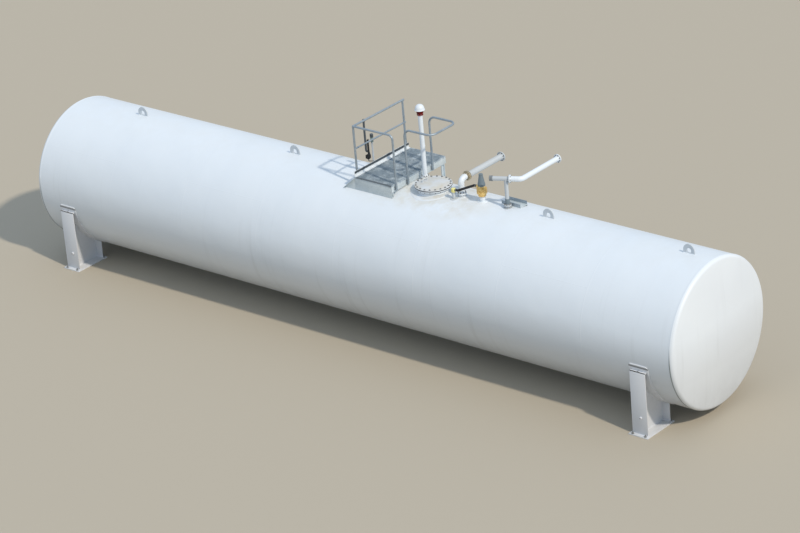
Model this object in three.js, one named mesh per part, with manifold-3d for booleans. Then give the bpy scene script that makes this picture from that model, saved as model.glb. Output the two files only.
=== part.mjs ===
import * as THREE from 'three';
import { mergeVertices } from 'three/addons/utils/BufferGeometryUtils.js';
import Module from 'manifold-3d';

// Horizontal storage tank on four plate legs, with its crown fittings and access platform.
// Millimetres. X runs along the tank, Z is up, the ground is at Z = 0.
// The origin is on the ground under the middle of the tank.

// Driving dimensions
const RADIUS = 1450;
const WALL = 8;
const AXIS_Z = 1620;
const SHELL_HALF = 7880;
const HEAD_RISE = 170;
const KNUCKLE = 70;
const FACETS = 64;
const GAP = 0.3;

const LEG_X = 7170;
const LEG_WIDTH = 340;
const LEG_OUT = 1475;
const LEG_IN = 775;
const LEG_TOP = 1280;
const WEAR_HALF = 210;
const BASE_THICK = 20;
const PLATE = 14;

const LUG_X = [-6130, -2030, 4205, 7375];

const MANWAY_X = 1460;
const MANWAY_R = 300;
const MAST_X = 1030;
const MAST_Y = 280;

const FLOOR_Z = 3225;
const PLAT_X0 = -30;
const PLAT_X1 = 890;
const PLAT_Y0 = -560;
const PLAT_Y1 = 1080;
const RAIL_Z = 4215;
const MID_Z = 3750;
const TUBE = 21;

const CROWN_Z = AXIS_Z + RADIUS;

const wasm = await Module();
wasm.setup();

// Turns a closed geometry into a solid that can be joined and cut.
function solid(geometry) {
  const g = geometry.clone();
  for (const key of Object.keys(g.attributes)) {
    if (key !== 'position') g.deleteAttribute(key);
  }
  const merged = mergeVertices(g, 1e-3);
  return new wasm.Manifold(new wasm.Mesh({
    numProp: 3,
    vertProperties: Float32Array.from(merged.attributes.position.array),
    triVerts: Uint32Array.from(merged.index.array),
  }));
}

function geometryOf(body) {
  const m = body.getMesh();
  const g = new THREE.BufferGeometry();
  g.setAttribute('position', new THREE.BufferAttribute(Float32Array.from(m.vertProperties), 3));
  g.setIndex(Array.from(m.triVerts));
  g.computeVertexNormals();
  return g;
}

function join(...bodies) {
  return bodies.reduce((a, b) => a.add(b));
}

function place(geometry, x, y, z, rx = 0, ry = 0, rz = 0) {
  const m = new THREE.Matrix4().makeRotationFromEuler(new THREE.Euler(rx, ry, rz));
  m.setPosition(x, y, z);
  return geometry.applyMatrix4(m);
}

function box(x0, x1, y0, y1, z0, z1) {
  const g = new THREE.BoxGeometry(x1 - x0, y1 - y0, z1 - z0);
  return solid(place(g, (x0 + x1) / 2, (y0 + y1) / 2, (z0 + z1) / 2));
}

// Round bars along each axis
function rodZ(x, y, z0, z1, r, sides = 16, r2 = r) {
  const g = new THREE.CylinderGeometry(r2, r, z1 - z0, sides);
  return solid(place(g, x, y, (z0 + z1) / 2, Math.PI / 2));
}

function rodX(x0, x1, y, z, r, sides = 16) {
  const g = new THREE.CylinderGeometry(r, r, x1 - x0, sides);
  return solid(place(g, (x0 + x1) / 2, y, z, 0, 0, Math.PI / 2));
}

function rodY(x, y0, y1, z, r, sides = 16) {
  return solid(place(new THREE.CylinderGeometry(r, r, y1 - y0, sides), x, (y0 + y1) / 2, z));
}

// A bent tube through points, with each corner rounded to the given bend radius
function bentTube(points, r, bend, sides = 12, steps = 6) {
  const path = [];
  for (let i = 0; i < points.length; i += 1) {
    const p = new THREE.Vector3(...points[i]);
    if (i === 0 || i === points.length - 1) {
      path.push(p);
    } else {
      const a = new THREE.Vector3(...points[i - 1]).sub(p).normalize();
      const b = new THREE.Vector3(...points[i + 1]).sub(p).normalize();
      const cut = bend / Math.tan(a.angleTo(b) / 2);
      const s = p.clone().addScaledVector(a, cut);
      const e = p.clone().addScaledVector(b, cut);
      for (let k = 0; k <= steps; k += 1) {
        path.push(new THREE.QuadraticBezierCurve3(s, p, e).getPoint(k / steps));
      }
    }
  }
  return sweep(path, r, sides);
}

// A round section carried along a list of points, closed at both ends
function sweep(path, r, sides) {
  const verts = [];
  const faces = [];
  let normal = null;
  for (let i = 0; i < path.length; i += 1) {
    const back = path[Math.max(i - 1, 0)];
    const ahead = path[Math.min(i + 1, path.length - 1)];
    const t = ahead.clone().sub(back).normalize();
    if (normal === null) {
      normal = Math.abs(t.z) > 0.9 ? new THREE.Vector3(1, 0, 0) : new THREE.Vector3(0, 0, 1);
    }
    normal = normal.clone().addScaledVector(t, -normal.dot(t)).normalize();
    const side = t.clone().cross(normal);
    for (let k = 0; k < sides; k += 1) {
      const a = (k / sides) * Math.PI * 2;
      const p = path[i].clone().addScaledVector(normal, Math.cos(a) * r).addScaledVector(side, Math.sin(a) * r);
      verts.push(p.x, p.y, p.z);
    }
  }
  for (let i = 0; i < path.length - 1; i += 1) {
    for (let k = 0; k < sides; k += 1) {
      const a = i * sides + k;
      const b = i * sides + ((k + 1) % sides);
      faces.push(a, b, a + sides, b, b + sides, a + sides);
    }
  }
  const last = (path.length - 1) * sides;
  for (let k = 1; k < sides - 1; k += 1) {
    faces.push(0, k + 1, k);
    faces.push(last, last + k, last + k + 1);
  }
  return new wasm.Manifold(new wasm.Mesh({
    numProp: 3,
    vertProperties: Float32Array.from(verts),
    triVerts: Uint32Array.from(faces),
  }));
}

// A flat outline in the YZ plane, made thick along X
function plateX(outline, x0, x1) {
  const shape = new THREE.Shape(outline.map(([y, z]) => new THREE.Vector2(y, z)));
  const g = new THREE.ExtrudeGeometry(shape, { depth: x1 - x0, bevelEnabled: false });
  const m = new THREE.Matrix4().makeBasis(
    new THREE.Vector3(0, 1, 0),
    new THREE.Vector3(0, 0, 1),
    new THREE.Vector3(1, 0, 0),
  );
  m.setPosition(x0, 0, 0);
  return solid(g.applyMatrix4(m));
}

// The corner points of the shell's facets between two angles, measured from straight down
function arc(r, a0, a1) {
  const step = (Math.PI * 2) / FACETS;
  const points = [];
  for (let i = Math.round(a0 / step); i <= Math.round(a1 / step); i += 1) {
    points.push([Math.sin(i * step) * r, AXIS_Z - Math.cos(i * step) * r]);
  }
  return points;
}

const FULL = Math.PI * 2;

// The drum with the same facets as the shell, used to fit every seat to the shell
function drum(r, x0, x1) {
  return plateX(arc(r, 0, FULL).slice(0, -1), x0, x1);
}

const seatCut = drum(RADIUS + GAP, -SHELL_HALF - 400, SHELL_HALF + 400);

function seated(body) {
  return body.subtract(seatCut);
}

const paint = (color, roughness = 0.4, metalness = 0) => (
  new THREE.MeshStandardMaterial({ color, roughness, metalness })
);
const whitePaint = paint(0xdde3e8);
const galvanised = paint(0x9aa5ab, 0.45, 0.8);
const brass = paint(0xb5792a, 0.35, 0.9);
const blackRubber = paint(0x17181a, 0.7);
const darkGrey = paint(0x3c4248, 0.5);
const red = paint(0xa31a16, 0.4);
const yellow = paint(0xd8c63a, 0.5);
const pipeGrey = paint(0xb9bfc4, 0.4, 0.6);

const tank = new THREE.Group();

function add(name, body, material) {
  const mesh = new THREE.Mesh(geometryOf(body), material);
  mesh.name = name;
  tank.add(mesh);
}

// Shell: rolled plate, open at both ends, with the manway hole in its crown
const shell = drum(RADIUS, -SHELL_HALF, SHELL_HALF)
  .subtract(drum(RADIUS - WALL, -SHELL_HALF - 10, SHELL_HALF + 10))
  .subtract(rodZ(MANWAY_X, 0, CROWN_Z - 120, CROWN_Z + 60, MANWAY_R - 10, 32));
add('shell', shell, whitePaint);

// Dished ends: a shallow crown inside a small knuckle, in the shell's own plate thickness
function headBody(side) {
  const profile = [];
  const inner = [];
  const steps = 3;
  const flat = RADIUS - KNUCKLE;
  const crown = (flat * flat + (HEAD_RISE - KNUCKLE) ** 2) / (2 * (HEAD_RISE - KNUCKLE));
  for (let k = 0; k <= steps; k += 1) {
    const a = (k / steps) * (Math.PI / 2) * 0.94;
    profile.push([flat + Math.cos(a) * KNUCKLE, Math.sin(a) * KNUCKLE]);
    inner.push([flat + Math.cos(a) * (KNUCKLE - WALL), Math.sin(a) * (KNUCKLE - WALL)]);
  }
  for (let k = 1; k <= steps; k += 1) {
    const r = flat * (1 - k / steps);
    const h = Math.sqrt(crown * crown - r * r) - (crown - (HEAD_RISE - KNUCKLE)) + KNUCKLE;
    profile.push([r, h]);
    inner.push([r, h - WALL]);
  }
  const outline = [...profile, ...inner.reverse()];
  const points = outline.map(([r, h]) => new THREE.Vector2(Math.max(r, 0), h));
  points.push(points[0].clone());
  const g = new THREE.LatheGeometry(points, FACETS);
  const turn = new THREE.Matrix4().makeBasis(
    new THREE.Vector3(0, 0, side),
    new THREE.Vector3(side, 0, 0),
    new THREE.Vector3(0, 1, 0),
  );
  g.applyMatrix4(turn);
  g.applyMatrix4(new THREE.Matrix4().makeTranslation(side * (SHELL_HALF + GAP), 0, AXIS_Z));
  return solid(g);
}
add('head_right', headBody(1), whitePaint);
add('head_left', headBody(-1), whitePaint);

// Legs: base plate, outer flange, web, inner flange and the wear plate that hugs the shell
function legBody(sx, sy) {
  const x = sx * LEG_X;
  const half = LEG_WIDTH / 2;
  const step = FULL / FACETS;
  const a0 = step * 5;
  const a1 = step * 14.4;
  const wear = plateX([...arc(RADIUS + 12, a0, a1), ...arc(RADIUS + GAP, a0, a1).reverse()], x - WEAR_HALF, x + WEAR_HALF);
  const web = plateX(
    [[LEG_IN, BASE_THICK - 1], [LEG_OUT, BASE_THICK - 1], [LEG_OUT, LEG_TOP], [1380, LEG_TOP], [LEG_IN, 700]],
    x - PLATE / 2,
    x + PLATE / 2,
  );
  const flange = box(x - half, x + half, LEG_OUT - PLATE, LEG_OUT, BASE_THICK - 1, LEG_TOP);
  const cap = box(x - half, x + half, 1380, LEG_OUT, LEG_TOP - PLATE, LEG_TOP);
  const inner = box(x - half, x + half, LEG_IN, LEG_IN + PLATE, BASE_THICK - 1, 700);
  const base = box(x - half - 45, x + half + 45, LEG_IN - 60, LEG_OUT + 75, 0, BASE_THICK);
  let leg = join(join(web, flange, cap, inner).subtract(drum(RADIUS + 6, x - 400, x + 400)), wear, base);
  leg = leg.subtract(seatCut);
  if (sy < 0) leg = leg.mirror([0, 1, 0]);
  return leg;
}
add('leg_left_front', legBody(-1, -1), whitePaint);
add('leg_left_back', legBody(-1, 1), whitePaint);
add('leg_right_front', legBody(1, -1), whitePaint);
add('leg_right_back', legBody(1, 1), whitePaint);

// Lifting lugs: arched plates standing along the crown
function lugBody(x) {
  const shape = new THREE.Shape();
  shape.moveTo(-125, -12);
  shape.lineTo(125, -12);
  shape.lineTo(125, 62);
  shape.absarc(0, 62, 125, 0, Math.PI, false);
  shape.lineTo(-125, -12);
  const hole = new THREE.Path();
  hole.moveTo(50, 60);
  hole.absarc(0, 60, 50, 0, Math.PI * 2, false);
  shape.holes.push(hole);
  const g = new THREE.ExtrudeGeometry(shape, { depth: 24, bevelEnabled: false, curveSegments: 10 });
  return seated(solid(place(g, x, 12, CROWN_Z, Math.PI / 2)));
}
LUG_X.forEach((x, i) => add(`lifting_lug_${i + 1}`, lugBody(x), whitePaint));

// Manway: short neck with a bolting flange, and a flat round cover with a lifting handle
const NECK_TOP = CROWN_Z + 95;
const neckBody = seated(join(
  rodZ(MANWAY_X, 0, CROWN_Z - 80, NECK_TOP, MANWAY_R + 10, 32),
  rodZ(MANWAY_X, 0, NECK_TOP - 24, NECK_TOP, MANWAY_R + 65, 32),
)).subtract(rodZ(MANWAY_X, 0, CROWN_Z - 120, NECK_TOP + 10, MANWAY_R, 32));
add('manway_neck', neckBody, whitePaint);
const COVER_TOP = NECK_TOP + GAP + 22;
const coverBody = join(
  rodZ(MANWAY_X, 0, NECK_TOP + GAP, COVER_TOP, MANWAY_R + 65, 32),
  bentTube(
    [[MANWAY_X - 200, -70, COVER_TOP - 5], [MANWAY_X - 200, -70, COVER_TOP + 60],
      [MANWAY_X - 200, 70, COVER_TOP + 60], [MANWAY_X - 200, 70, COVER_TOP - 5]],
    9,
    30,
    8,
    3,
  ),
);
add('manway_cover', coverBody, whitePaint);

// Vent mast: flanged riser beside the manway, red fitting and white weather cap on top
const MAST_TOP = CROWN_Z + 1333;
const mastBody = seated(join(
  rodZ(MAST_X, MAST_Y, CROWN_Z - 60, CROWN_Z + 60, 57),
  rodZ(MAST_X, MAST_Y, CROWN_Z + 40, CROWN_Z + 60, 84),
  rodZ(MAST_X, MAST_Y, CROWN_Z + 59, CROWN_Z + 80, 84),
  rodZ(MAST_X, MAST_Y, CROWN_Z + 79, MAST_TOP, 45),
));
add('vent_mast', mastBody, whitePaint);
add('vent_fitting', join(
  rodZ(MAST_X, MAST_Y, MAST_TOP + GAP, MAST_TOP + 40, 56),
  rodZ(MAST_X, MAST_Y, MAST_TOP + 39, MAST_TOP + 100, 66),
), red);
const capZ = MAST_TOP + 100 + GAP;
add('vent_cap', solid(new THREE.LatheGeometry([
  new THREE.Vector2(0, 0),
  new THREE.Vector2(82, 0),
  new THREE.Vector2(90, 26),
  new THREE.Vector2(82, 68),
  new THREE.Vector2(54, 102),
  new THREE.Vector2(0, 118),
], 20).applyMatrix4(new THREE.Matrix4().makeRotationX(Math.PI / 2))
  .applyMatrix4(new THREE.Matrix4().makeTranslation(MAST_X, MAST_Y, capZ))), whitePaint);

// Transfer connection: riser and elbow, brass coupling, pipe that ends at a flange
const TX = 2150;
const TZ = CROWN_Z + 350;
const RING_Y = 140;
const TRANSFER_R = 58;
add('transfer_riser', seated(join(
  rodZ(TX, 0, CROWN_Z - 30, CROWN_Z + 70, TRANSFER_R + 4),
  rodZ(TX, 0, CROWN_Z + 50, CROWN_Z + 84, TRANSFER_R + 34),
  bentTube([[TX, 0, CROWN_Z + 60], [TX, 0, TZ], [TX, RING_Y, TZ]], TRANSFER_R, 100, 16, 5),
)), whitePaint);
add('transfer_coupling', join(
  rodY(TX, RING_Y + GAP, RING_Y + 30, TZ, TRANSFER_R + 16),
  rodY(TX, RING_Y + 29, RING_Y + 76, TZ, TRANSFER_R + 36),
), brass);
add('transfer_pipe', join(
  rodY(TX, RING_Y + 76 + GAP, 1240, TZ, TRANSFER_R),
  rodY(TX, 1220, 1244, TZ, TRANSFER_R + 36),
), pipeGrey);

// Sampling nozzle with yellow cap, hose, brass valve and the dark conical strainer housing on it
const SX = 2075;
const SY = -150;
const CAP_Z = CROWN_Z + 130;
const CAP_R = 44;
const VX = 2645;
const VALVE_R = 100;
const VALVE_TOP = CROWN_Z + 320;
const STRAINER_R = 72;
const HOSE_LOW = CROWN_Z + 180;
const HOSE_HIGH = CROWN_Z + 290;
const SPIGOT_X = VX - VALVE_R - 20;
add('sample_nozzle', seated(rodZ(SX, SY, CROWN_Z - 40, CAP_Z, 34)), pipeGrey);
add('sample_cap', rodZ(SX, SY, CAP_Z + GAP, CAP_Z + 75, CAP_R), yellow);
add('valve_body', seated(join(
  rodZ(VX, 0, CROWN_Z - 30, CROWN_Z + 125, 50),
  rodZ(VX, 0, CROWN_Z + 115, CROWN_Z + 190, 78, 16, VALVE_R),
  rodZ(VX, 0, CROWN_Z + 189, CROWN_Z + 265, VALVE_R),
  rodZ(VX, 0, CROWN_Z + 264, VALVE_TOP, VALVE_R, 16, 60),
  rodX(SPIGOT_X, VX - 40, 0, HOSE_HIGH, 26),
)), brass);
add('valve_hose', bentTube(
  [[SPIGOT_X - GAP, 0, HOSE_HIGH], [SPIGOT_X - 55, 0, HOSE_HIGH],
    [SX + 110, SY, HOSE_LOW], [SX + CAP_R + GAP, SY, HOSE_LOW]],
  24,
  40,
  10,
  4,
), blackRubber);
add('strainer_cone', join(
  rodZ(VX, 0, VALVE_TOP + GAP, VALVE_TOP + 52, STRAINER_R),
  rodZ(VX, 0, VALVE_TOP + 51, VALVE_TOP + 250, STRAINER_R - 2, 16, 36),
), darkGrey);

// Header connection: a flanged riser with a tee, a dark end on the tee's short arm, the header pipe that turns
// away in one easy bend to a flange, and an upturned channel on the crown behind the riser
const HX = 3245;
const HZ = CROWN_Z + 590;
const HEADER_TURN = 25 * Math.PI / 180;
const ARM_R = 42;
const ARM_END = -250;
const HEADER_R = 50;
const TEE = 75;
const onArm = (d) => [HX + d * Math.cos(HEADER_TURN), d * Math.sin(HEADER_TURN), HZ];
const corner = onArm(300);
add('header_riser', seated(join(
  rodZ(HX, 0, CROWN_Z - 40, CROWN_Z + 60, 50),
  rodZ(HX, 0, CROWN_Z + 40, CROWN_Z + 72, 74),
  rodZ(HX, 0, CROWN_Z + 60, HZ, 38),
  bentTube([onArm(ARM_END), onArm(TEE)], ARM_R, 0, 16),
  bentTube([onArm(TEE - 16), onArm(TEE)], HEADER_R + 28, 0, 16),
)), pipeGrey);
add('riser_end', bentTube([onArm(ARM_END - 65), onArm(ARM_END - GAP)], 54, 0, 16), blackRubber);
add('header_pipe', join(
  bentTube([onArm(TEE + GAP), onArm(TEE + 16)], HEADER_R + 28, 0, 16),
  bentTube([onArm(TEE + 10), corner, [corner[0], 1240, HZ]], HEADER_R, 110, 16, 4),
  rodY(corner[0], 1220, 1244, HZ, HEADER_R + 34),
), whitePaint);
const CHANNEL_X0 = 3030;
const CHANNEL_X1 = 3470;
const CHANNEL_Y0 = 88;
const CHANNEL_Y1 = 300;
add('channel_pad', seated(join(
  box(CHANNEL_X0, CHANNEL_X1, CHANNEL_Y0, CHANNEL_Y1, CROWN_Z - 60, CROWN_Z + 10),
  box(CHANNEL_X0, CHANNEL_X1, CHANNEL_Y0, CHANNEL_Y0 + 10, CROWN_Z - 60, CROWN_Z + 75),
  box(CHANNEL_X0, CHANNEL_X1, CHANNEL_Y1 - 10, CHANNEL_Y1, CROWN_Z - 60, CROWN_Z + 75),
)), galvanised);

// Platform frame: two side channels, cross members and feet that stand on the shell
function channelY(x, side, y0, y1, z0, z1) {
  return join(
    box(Math.min(x, x + side * 7), Math.max(x, x + side * 7), y0, y1, z0, z1),
    box(Math.min(x, x + side * 60), Math.max(x, x + side * 60), y0, y1, z0, z0 + 8),
    box(Math.min(x, x + side * 60), Math.max(x, x + side * 60), y0, y1, z1 - 8, z1),
  );
}
const FRAME_Z1 = FLOOR_Z - 32;
const FRAME_Z0 = FRAME_Z1 - 118;
const foot = (x, y) => join(
  box(x - 45, x + 45, y - 6, y + 6, AXIS_Z + 700, FRAME_Z0 + 10),
  box(x - 6, x + 6, y - 45, y + 45, AXIS_Z + 700, FRAME_Z0 + 10),
);
// The splayed bracket at the outer corner: a gusset in the front plate's plane, with a flange on its sloping edge
const BRACKET_X = PLAT_X0 - 270;
const BRACKET_Z = FRAME_Z1 - 235;
const slope = Math.atan2(FRAME_Z1 - BRACKET_Z, PLAT_X0 - BRACKET_X);
const bracketLong = Math.hypot(FRAME_Z1 - BRACKET_Z, PLAT_X0 - BRACKET_X);
const bracketFlange = place(
  new THREE.BoxGeometry(bracketLong, 96, 8),
  (PLAT_X0 + BRACKET_X) / 2,
  PLAT_Y0,
  (FRAME_Z1 + BRACKET_Z) / 2 - 5,
  0,
  -slope,
);
const gussetShape = new THREE.Shape([
  new THREE.Vector2(PLAT_X0 + 2, FRAME_Z1 - 8),
  new THREE.Vector2(BRACKET_X, BRACKET_Z - 8),
  new THREE.Vector2(PLAT_X0 + 2, BRACKET_Z - 8),
]);
const gusset = place(
  new THREE.ExtrudeGeometry(gussetShape, { depth: 8, bevelEnabled: false }),
  0,
  PLAT_Y0 + 8,
  0,
  Math.PI / 2,
);
const bracket = solid(bracketFlange).add(solid(gusset)).subtract(
  box(PLAT_X0 - 60, PLAT_X0 + 60, PLAT_Y0 - 200, PLAT_Y0 + 200, FRAME_Z1 - 0.5, FRAME_Z1 + 60),
);
const frameBody = join(
  bracket,
  channelY(PLAT_X0, 1, PLAT_Y0, PLAT_Y1, FRAME_Z0, FRAME_Z1),
  channelY(PLAT_X1, -1, PLAT_Y0, PLAT_Y1, FRAME_Z0, FRAME_Z1),
  box(PLAT_X0, PLAT_X1, PLAT_Y0, PLAT_Y0 + 8, AXIS_Z + 1200, FRAME_Z1),
  box(PLAT_X0, PLAT_X1, PLAT_Y1 - 8, PLAT_Y1, FRAME_Z0, FRAME_Z1),
  box(PLAT_X0, PLAT_X1, 250, 258, FRAME_Z0, FRAME_Z1),
  foot(PLAT_X0 + 46, PLAT_Y0 + 46),
  foot(PLAT_X1 - 46, PLAT_Y0 + 46),
  foot(PLAT_X0 + 46, PLAT_Y1 - 46),
  foot(PLAT_X1 - 46, PLAT_Y1 - 46),
);
add('platform_frame', seated(frameBody), galvanised);

// Grating: one panel with an open mesh of bearing bars and cross bars
const BAYS_X = 8;
const BAYS_Y = 4;
const bayX = (PLAT_X1 - PLAT_X0 - 12) / BAYS_X;
const bayY = (PLAT_Y1 - PLAT_Y0 - 12) / BAYS_Y;
let grating = box(PLAT_X0, PLAT_X1, PLAT_Y0, PLAT_Y1, FRAME_Z1 + GAP, FLOOR_Z);
for (let i = 0; i < BAYS_X; i += 1) {
  for (let j = 0; j < BAYS_Y; j += 1) {
    const x = PLAT_X0 + 6 + i * bayX;
    const y = PLAT_Y0 + 6 + j * bayY;
    grating = grating.subtract(box(x + 4, x + bayX - 4, y + 4, y + bayY - 4, FRAME_Z1 - 10, FLOOR_Z + 10));
  }
}
add('platform_grating', grating, galvanised);

// Side guard rail: two posts, top rail and knee rail in one welded panel
const RAIL_X = PLAT_X0 - 24;
const CORNER_X = PLAT_X1 + 24;
const POST_Y0 = -440;
const POST_Y1 = PLAT_Y1 - 40;
const leftFoot = (y) => box(RAIL_X - 22, PLAT_X0 - GAP, y - 30, y + 30, FRAME_Z0 + 20, FRAME_Z1);
const rightFoot = (y) => box(PLAT_X1 + GAP, CORNER_X + 22, y - 30, y + 30, FRAME_Z0 + 20, FRAME_Z1);
const sideRail = join(
  rodZ(RAIL_X, POST_Y0, FRAME_Z0 + 20, RAIL_Z, TUBE, 12),
  rodZ(RAIL_X, POST_Y1, FRAME_Z0 + 20, RAIL_Z, TUBE, 12),
  rodY(RAIL_X, POST_Y0, PLAT_Y1, RAIL_Z, TUBE, 12),
  rodY(RAIL_X, POST_Y0, PLAT_Y1, MID_Z, TUBE - 4, 12),
  leftFoot(POST_Y0),
  leftFoot(POST_Y1),
);
add('guardrail_side', sideRail, galvanised);

// Toe board along the side rail, standing on the edge of the grating
add('toe_board', box(PLAT_X0 + 1, PLAT_X0 + 7, PLAT_Y0 + 10, PLAT_Y1, FLOOR_Z + GAP, FLOOR_Z + 100), galvanised);

// End guard rail: top rail that bends down into a corner post and its foot
const END_Y = POST_Y0;
const endStart = RAIL_X + TUBE + GAP;
add('guardrail_end', join(
  bentTube([[endStart, END_Y, RAIL_Z], [CORNER_X, END_Y, RAIL_Z], [CORNER_X, END_Y, FRAME_Z0 + 20]], TUBE, 90, 12, 5),
  rightFoot(END_Y),
), galvanised);

// Bowed guard rail on the manway side: two posts and a rail that bulges out over the manway
const BOW_Y0 = -90;
const BOW_Y1 = 660;
const BOW_X = 1590;
add('guardrail_bow', join(
  bentTube(
    [[CORNER_X, BOW_Y0, FRAME_Z0 + 20], [CORNER_X, BOW_Y0, RAIL_Z], [BOW_X, BOW_Y0, RAIL_Z],
      [BOW_X, BOW_Y1, RAIL_Z], [CORNER_X, BOW_Y1, RAIL_Z], [CORNER_X, BOW_Y1, FRAME_Z0 + 20]],
    TUBE,
    150,
    12,
    6,
  ),
  rightFoot(BOW_Y0),
  rightFoot(BOW_Y1),
), galvanised);

// Junction box hung from the knee rail, its cable tube down from the top rail, and the level probe with a dark head
const BOX_X = RAIL_X - TUBE + 4 - GAP;
const BOX_Y0 = -60;
const BOX_Y1 = 30;
const BOX_TOP = 3460;
const TUBE_X = RAIL_X - 52;
const TUBE_Y = -70;
const ENTRY_Y = 4;
add('junction_box', join(
  box(BOX_X - 78, BOX_X - 8, BOX_Y0, BOX_Y1, BOX_TOP - 80, BOX_TOP),
  box(BOX_X - 9, BOX_X, BOX_Y0, BOX_Y0 + 50, BOX_TOP - 80, MID_Z + 40),
), blackRubber);
add('cable_tube', bentTube(
  [[TUBE_X, TUBE_Y, RAIL_Z], [TUBE_X, TUBE_Y, BOX_TOP + 95],
    [TUBE_X, ENTRY_Y, BOX_TOP + 55], [TUBE_X, ENTRY_Y, BOX_TOP + GAP]],
  24,
  50,
  12,
  4,
), darkGrey);
const PROBE_X = -160;
const PROBE_Y = 180;
const PROBE_Z = CROWN_Z + 570;
add('level_probe', seated(join(
  rodZ(PROBE_X, PROBE_Y, CROWN_Z - 30, CROWN_Z + 50, 40),
  rodZ(PROBE_X, PROBE_Y, CROWN_Z + 49, PROBE_Z, 17, 12),
)), pipeGrey);
add('probe_head', rodZ(PROBE_X, PROBE_Y, PROBE_Z + GAP, PROBE_Z + 170, 34), darkGrey);

export default tank;
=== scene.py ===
import math

import bmesh
import bpy
from mathutils import Matrix, Vector


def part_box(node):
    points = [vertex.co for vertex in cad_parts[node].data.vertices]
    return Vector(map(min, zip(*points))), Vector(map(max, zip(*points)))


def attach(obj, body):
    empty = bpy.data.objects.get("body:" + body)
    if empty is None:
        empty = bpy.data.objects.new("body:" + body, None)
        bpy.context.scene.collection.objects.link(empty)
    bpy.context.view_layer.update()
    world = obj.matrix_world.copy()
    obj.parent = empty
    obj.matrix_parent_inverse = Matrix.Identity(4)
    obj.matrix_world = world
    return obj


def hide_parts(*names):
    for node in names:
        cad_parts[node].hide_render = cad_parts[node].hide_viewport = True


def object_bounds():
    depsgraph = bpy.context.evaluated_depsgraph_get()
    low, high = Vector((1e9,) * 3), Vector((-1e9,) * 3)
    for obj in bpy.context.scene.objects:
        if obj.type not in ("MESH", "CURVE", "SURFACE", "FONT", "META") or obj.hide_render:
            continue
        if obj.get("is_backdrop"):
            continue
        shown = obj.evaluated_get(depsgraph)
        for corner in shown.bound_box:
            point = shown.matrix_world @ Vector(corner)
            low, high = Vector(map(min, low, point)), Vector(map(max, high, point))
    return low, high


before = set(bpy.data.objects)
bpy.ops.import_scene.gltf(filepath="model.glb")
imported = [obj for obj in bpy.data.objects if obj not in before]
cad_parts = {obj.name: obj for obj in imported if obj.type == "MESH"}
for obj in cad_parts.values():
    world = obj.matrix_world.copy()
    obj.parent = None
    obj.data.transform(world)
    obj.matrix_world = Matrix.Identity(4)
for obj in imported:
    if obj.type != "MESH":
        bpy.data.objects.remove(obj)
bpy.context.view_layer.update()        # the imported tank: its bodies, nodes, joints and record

# Camera: stands high in front of the right end, where the photograph was taken from, and is framed closer
# so that the tank fills the picture. Its place and angles come from the tank's outlines.
CAMERA_PLACE = (41.31, -46.07, 29.33)
CAMERA_HEADING = math.radians(41.58)
CAMERA_TILT = math.radians(24.54)
CAMERA_ROLL = math.radians(-5.02)
lens = bpy.data.cameras.new("camera")
lens.sensor_width = 36.0
lens.lens = 157.4
lens.clip_end = 400.0
camera = bpy.data.objects.new("camera", lens)
camera.matrix_world = (Matrix.Translation(CAMERA_PLACE) @ Matrix.Rotation(CAMERA_HEADING, 4, "Z")
                       @ Matrix.Rotation(math.pi / 2 - CAMERA_TILT, 4, "X")
                       @ Matrix.Rotation(CAMERA_ROLL, 4, "Z"))
bpy.context.scene.collection.objects.link(camera)
bpy.context.scene.camera = camera
bpy.context.scene.view_settings.view_transform = "Standard"


# Studio: a plain pale floor, one broad key light from the right and above, as the sun stood, and a pale
# dome. The key is wide enough that its shadows have soft edges.
FLOOR_HALF = 180.0
KEY_FROM = Vector((0.70, -0.12, 0.70))
KEY_SPREAD = math.radians(2.5)
KEY_STRENGTH = 2.35
DOME_STRENGTH = 0.76


# The linear colour, with full alpha, of an sRGB hex value.
def colour(value):
    parts = [int(value[i:i + 2], 16) / 255 for i in (1, 3, 5)]
    return (*[c / 12.92 if c <= 0.04045 else ((c + 0.055) / 1.055) ** 2.4 for c in parts], 1.0)


# Adds a shader node of a kind, with its settings; an input is
# given a value, or linked where it is given a socket.
def add_node(tree, kind, inputs=None, **settings):
    item = tree.nodes.new("ShaderNode" + kind)
    for key, value in settings.items():
        setattr(item, key, value)
    for key, value in (inputs or {}).items():
        if isinstance(value, bpy.types.NodeSocket):
            tree.links.new(value, item.inputs[key])
        else:
            item.inputs[key].default_value = value
    return item.outputs


# A new material, its node tree and its surface shader, with the even values set on the shader itself.
def new_material(name, **values):
    made = bpy.data.materials.new(name)
    made.use_nodes = True
    shader = made.node_tree.nodes["Principled BSDF"]
    for key, value in values.items():
        shader.inputs[key.replace("_", " ")].default_value = value
    return made, made.node_tree, shader


floor_finish, _, _ = new_material("matt_studio_floor", Base_Color=colour("#B6AD9C"), Roughness=0.9)
floor_bm = bmesh.new()
bmesh.ops.create_grid(floor_bm, x_segments=1, y_segments=1, size=FLOOR_HALF)
floor_mesh = bpy.data.meshes.new("studio_floor")
floor_bm.to_mesh(floor_mesh)
floor_mesh.materials.append(floor_finish)
floor = bpy.data.objects.new("studio_floor", floor_mesh)
bpy.context.scene.collection.objects.link(floor)
floor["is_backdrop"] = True

key_light = bpy.data.lights.new("key", "SUN")
key_light.energy = KEY_STRENGTH
key_light.angle = KEY_SPREAD
key_light.color = colour("#FFF4E4")[:3]
key = bpy.data.objects.new("key", key_light)
key.matrix_world = KEY_FROM.to_track_quat("Z", "Y").to_matrix().to_4x4()
bpy.context.scene.collection.objects.link(key)
dome = bpy.data.worlds.new("dome")
dome.use_nodes = True
dome.node_tree.nodes["Background"].inputs["Color"].default_value = colour("#D5E6FA")
dome.node_tree.nodes["Background"].inputs["Strength"].default_value = DOME_STRENGTH
bpy.context.scene.world = dome


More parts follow.
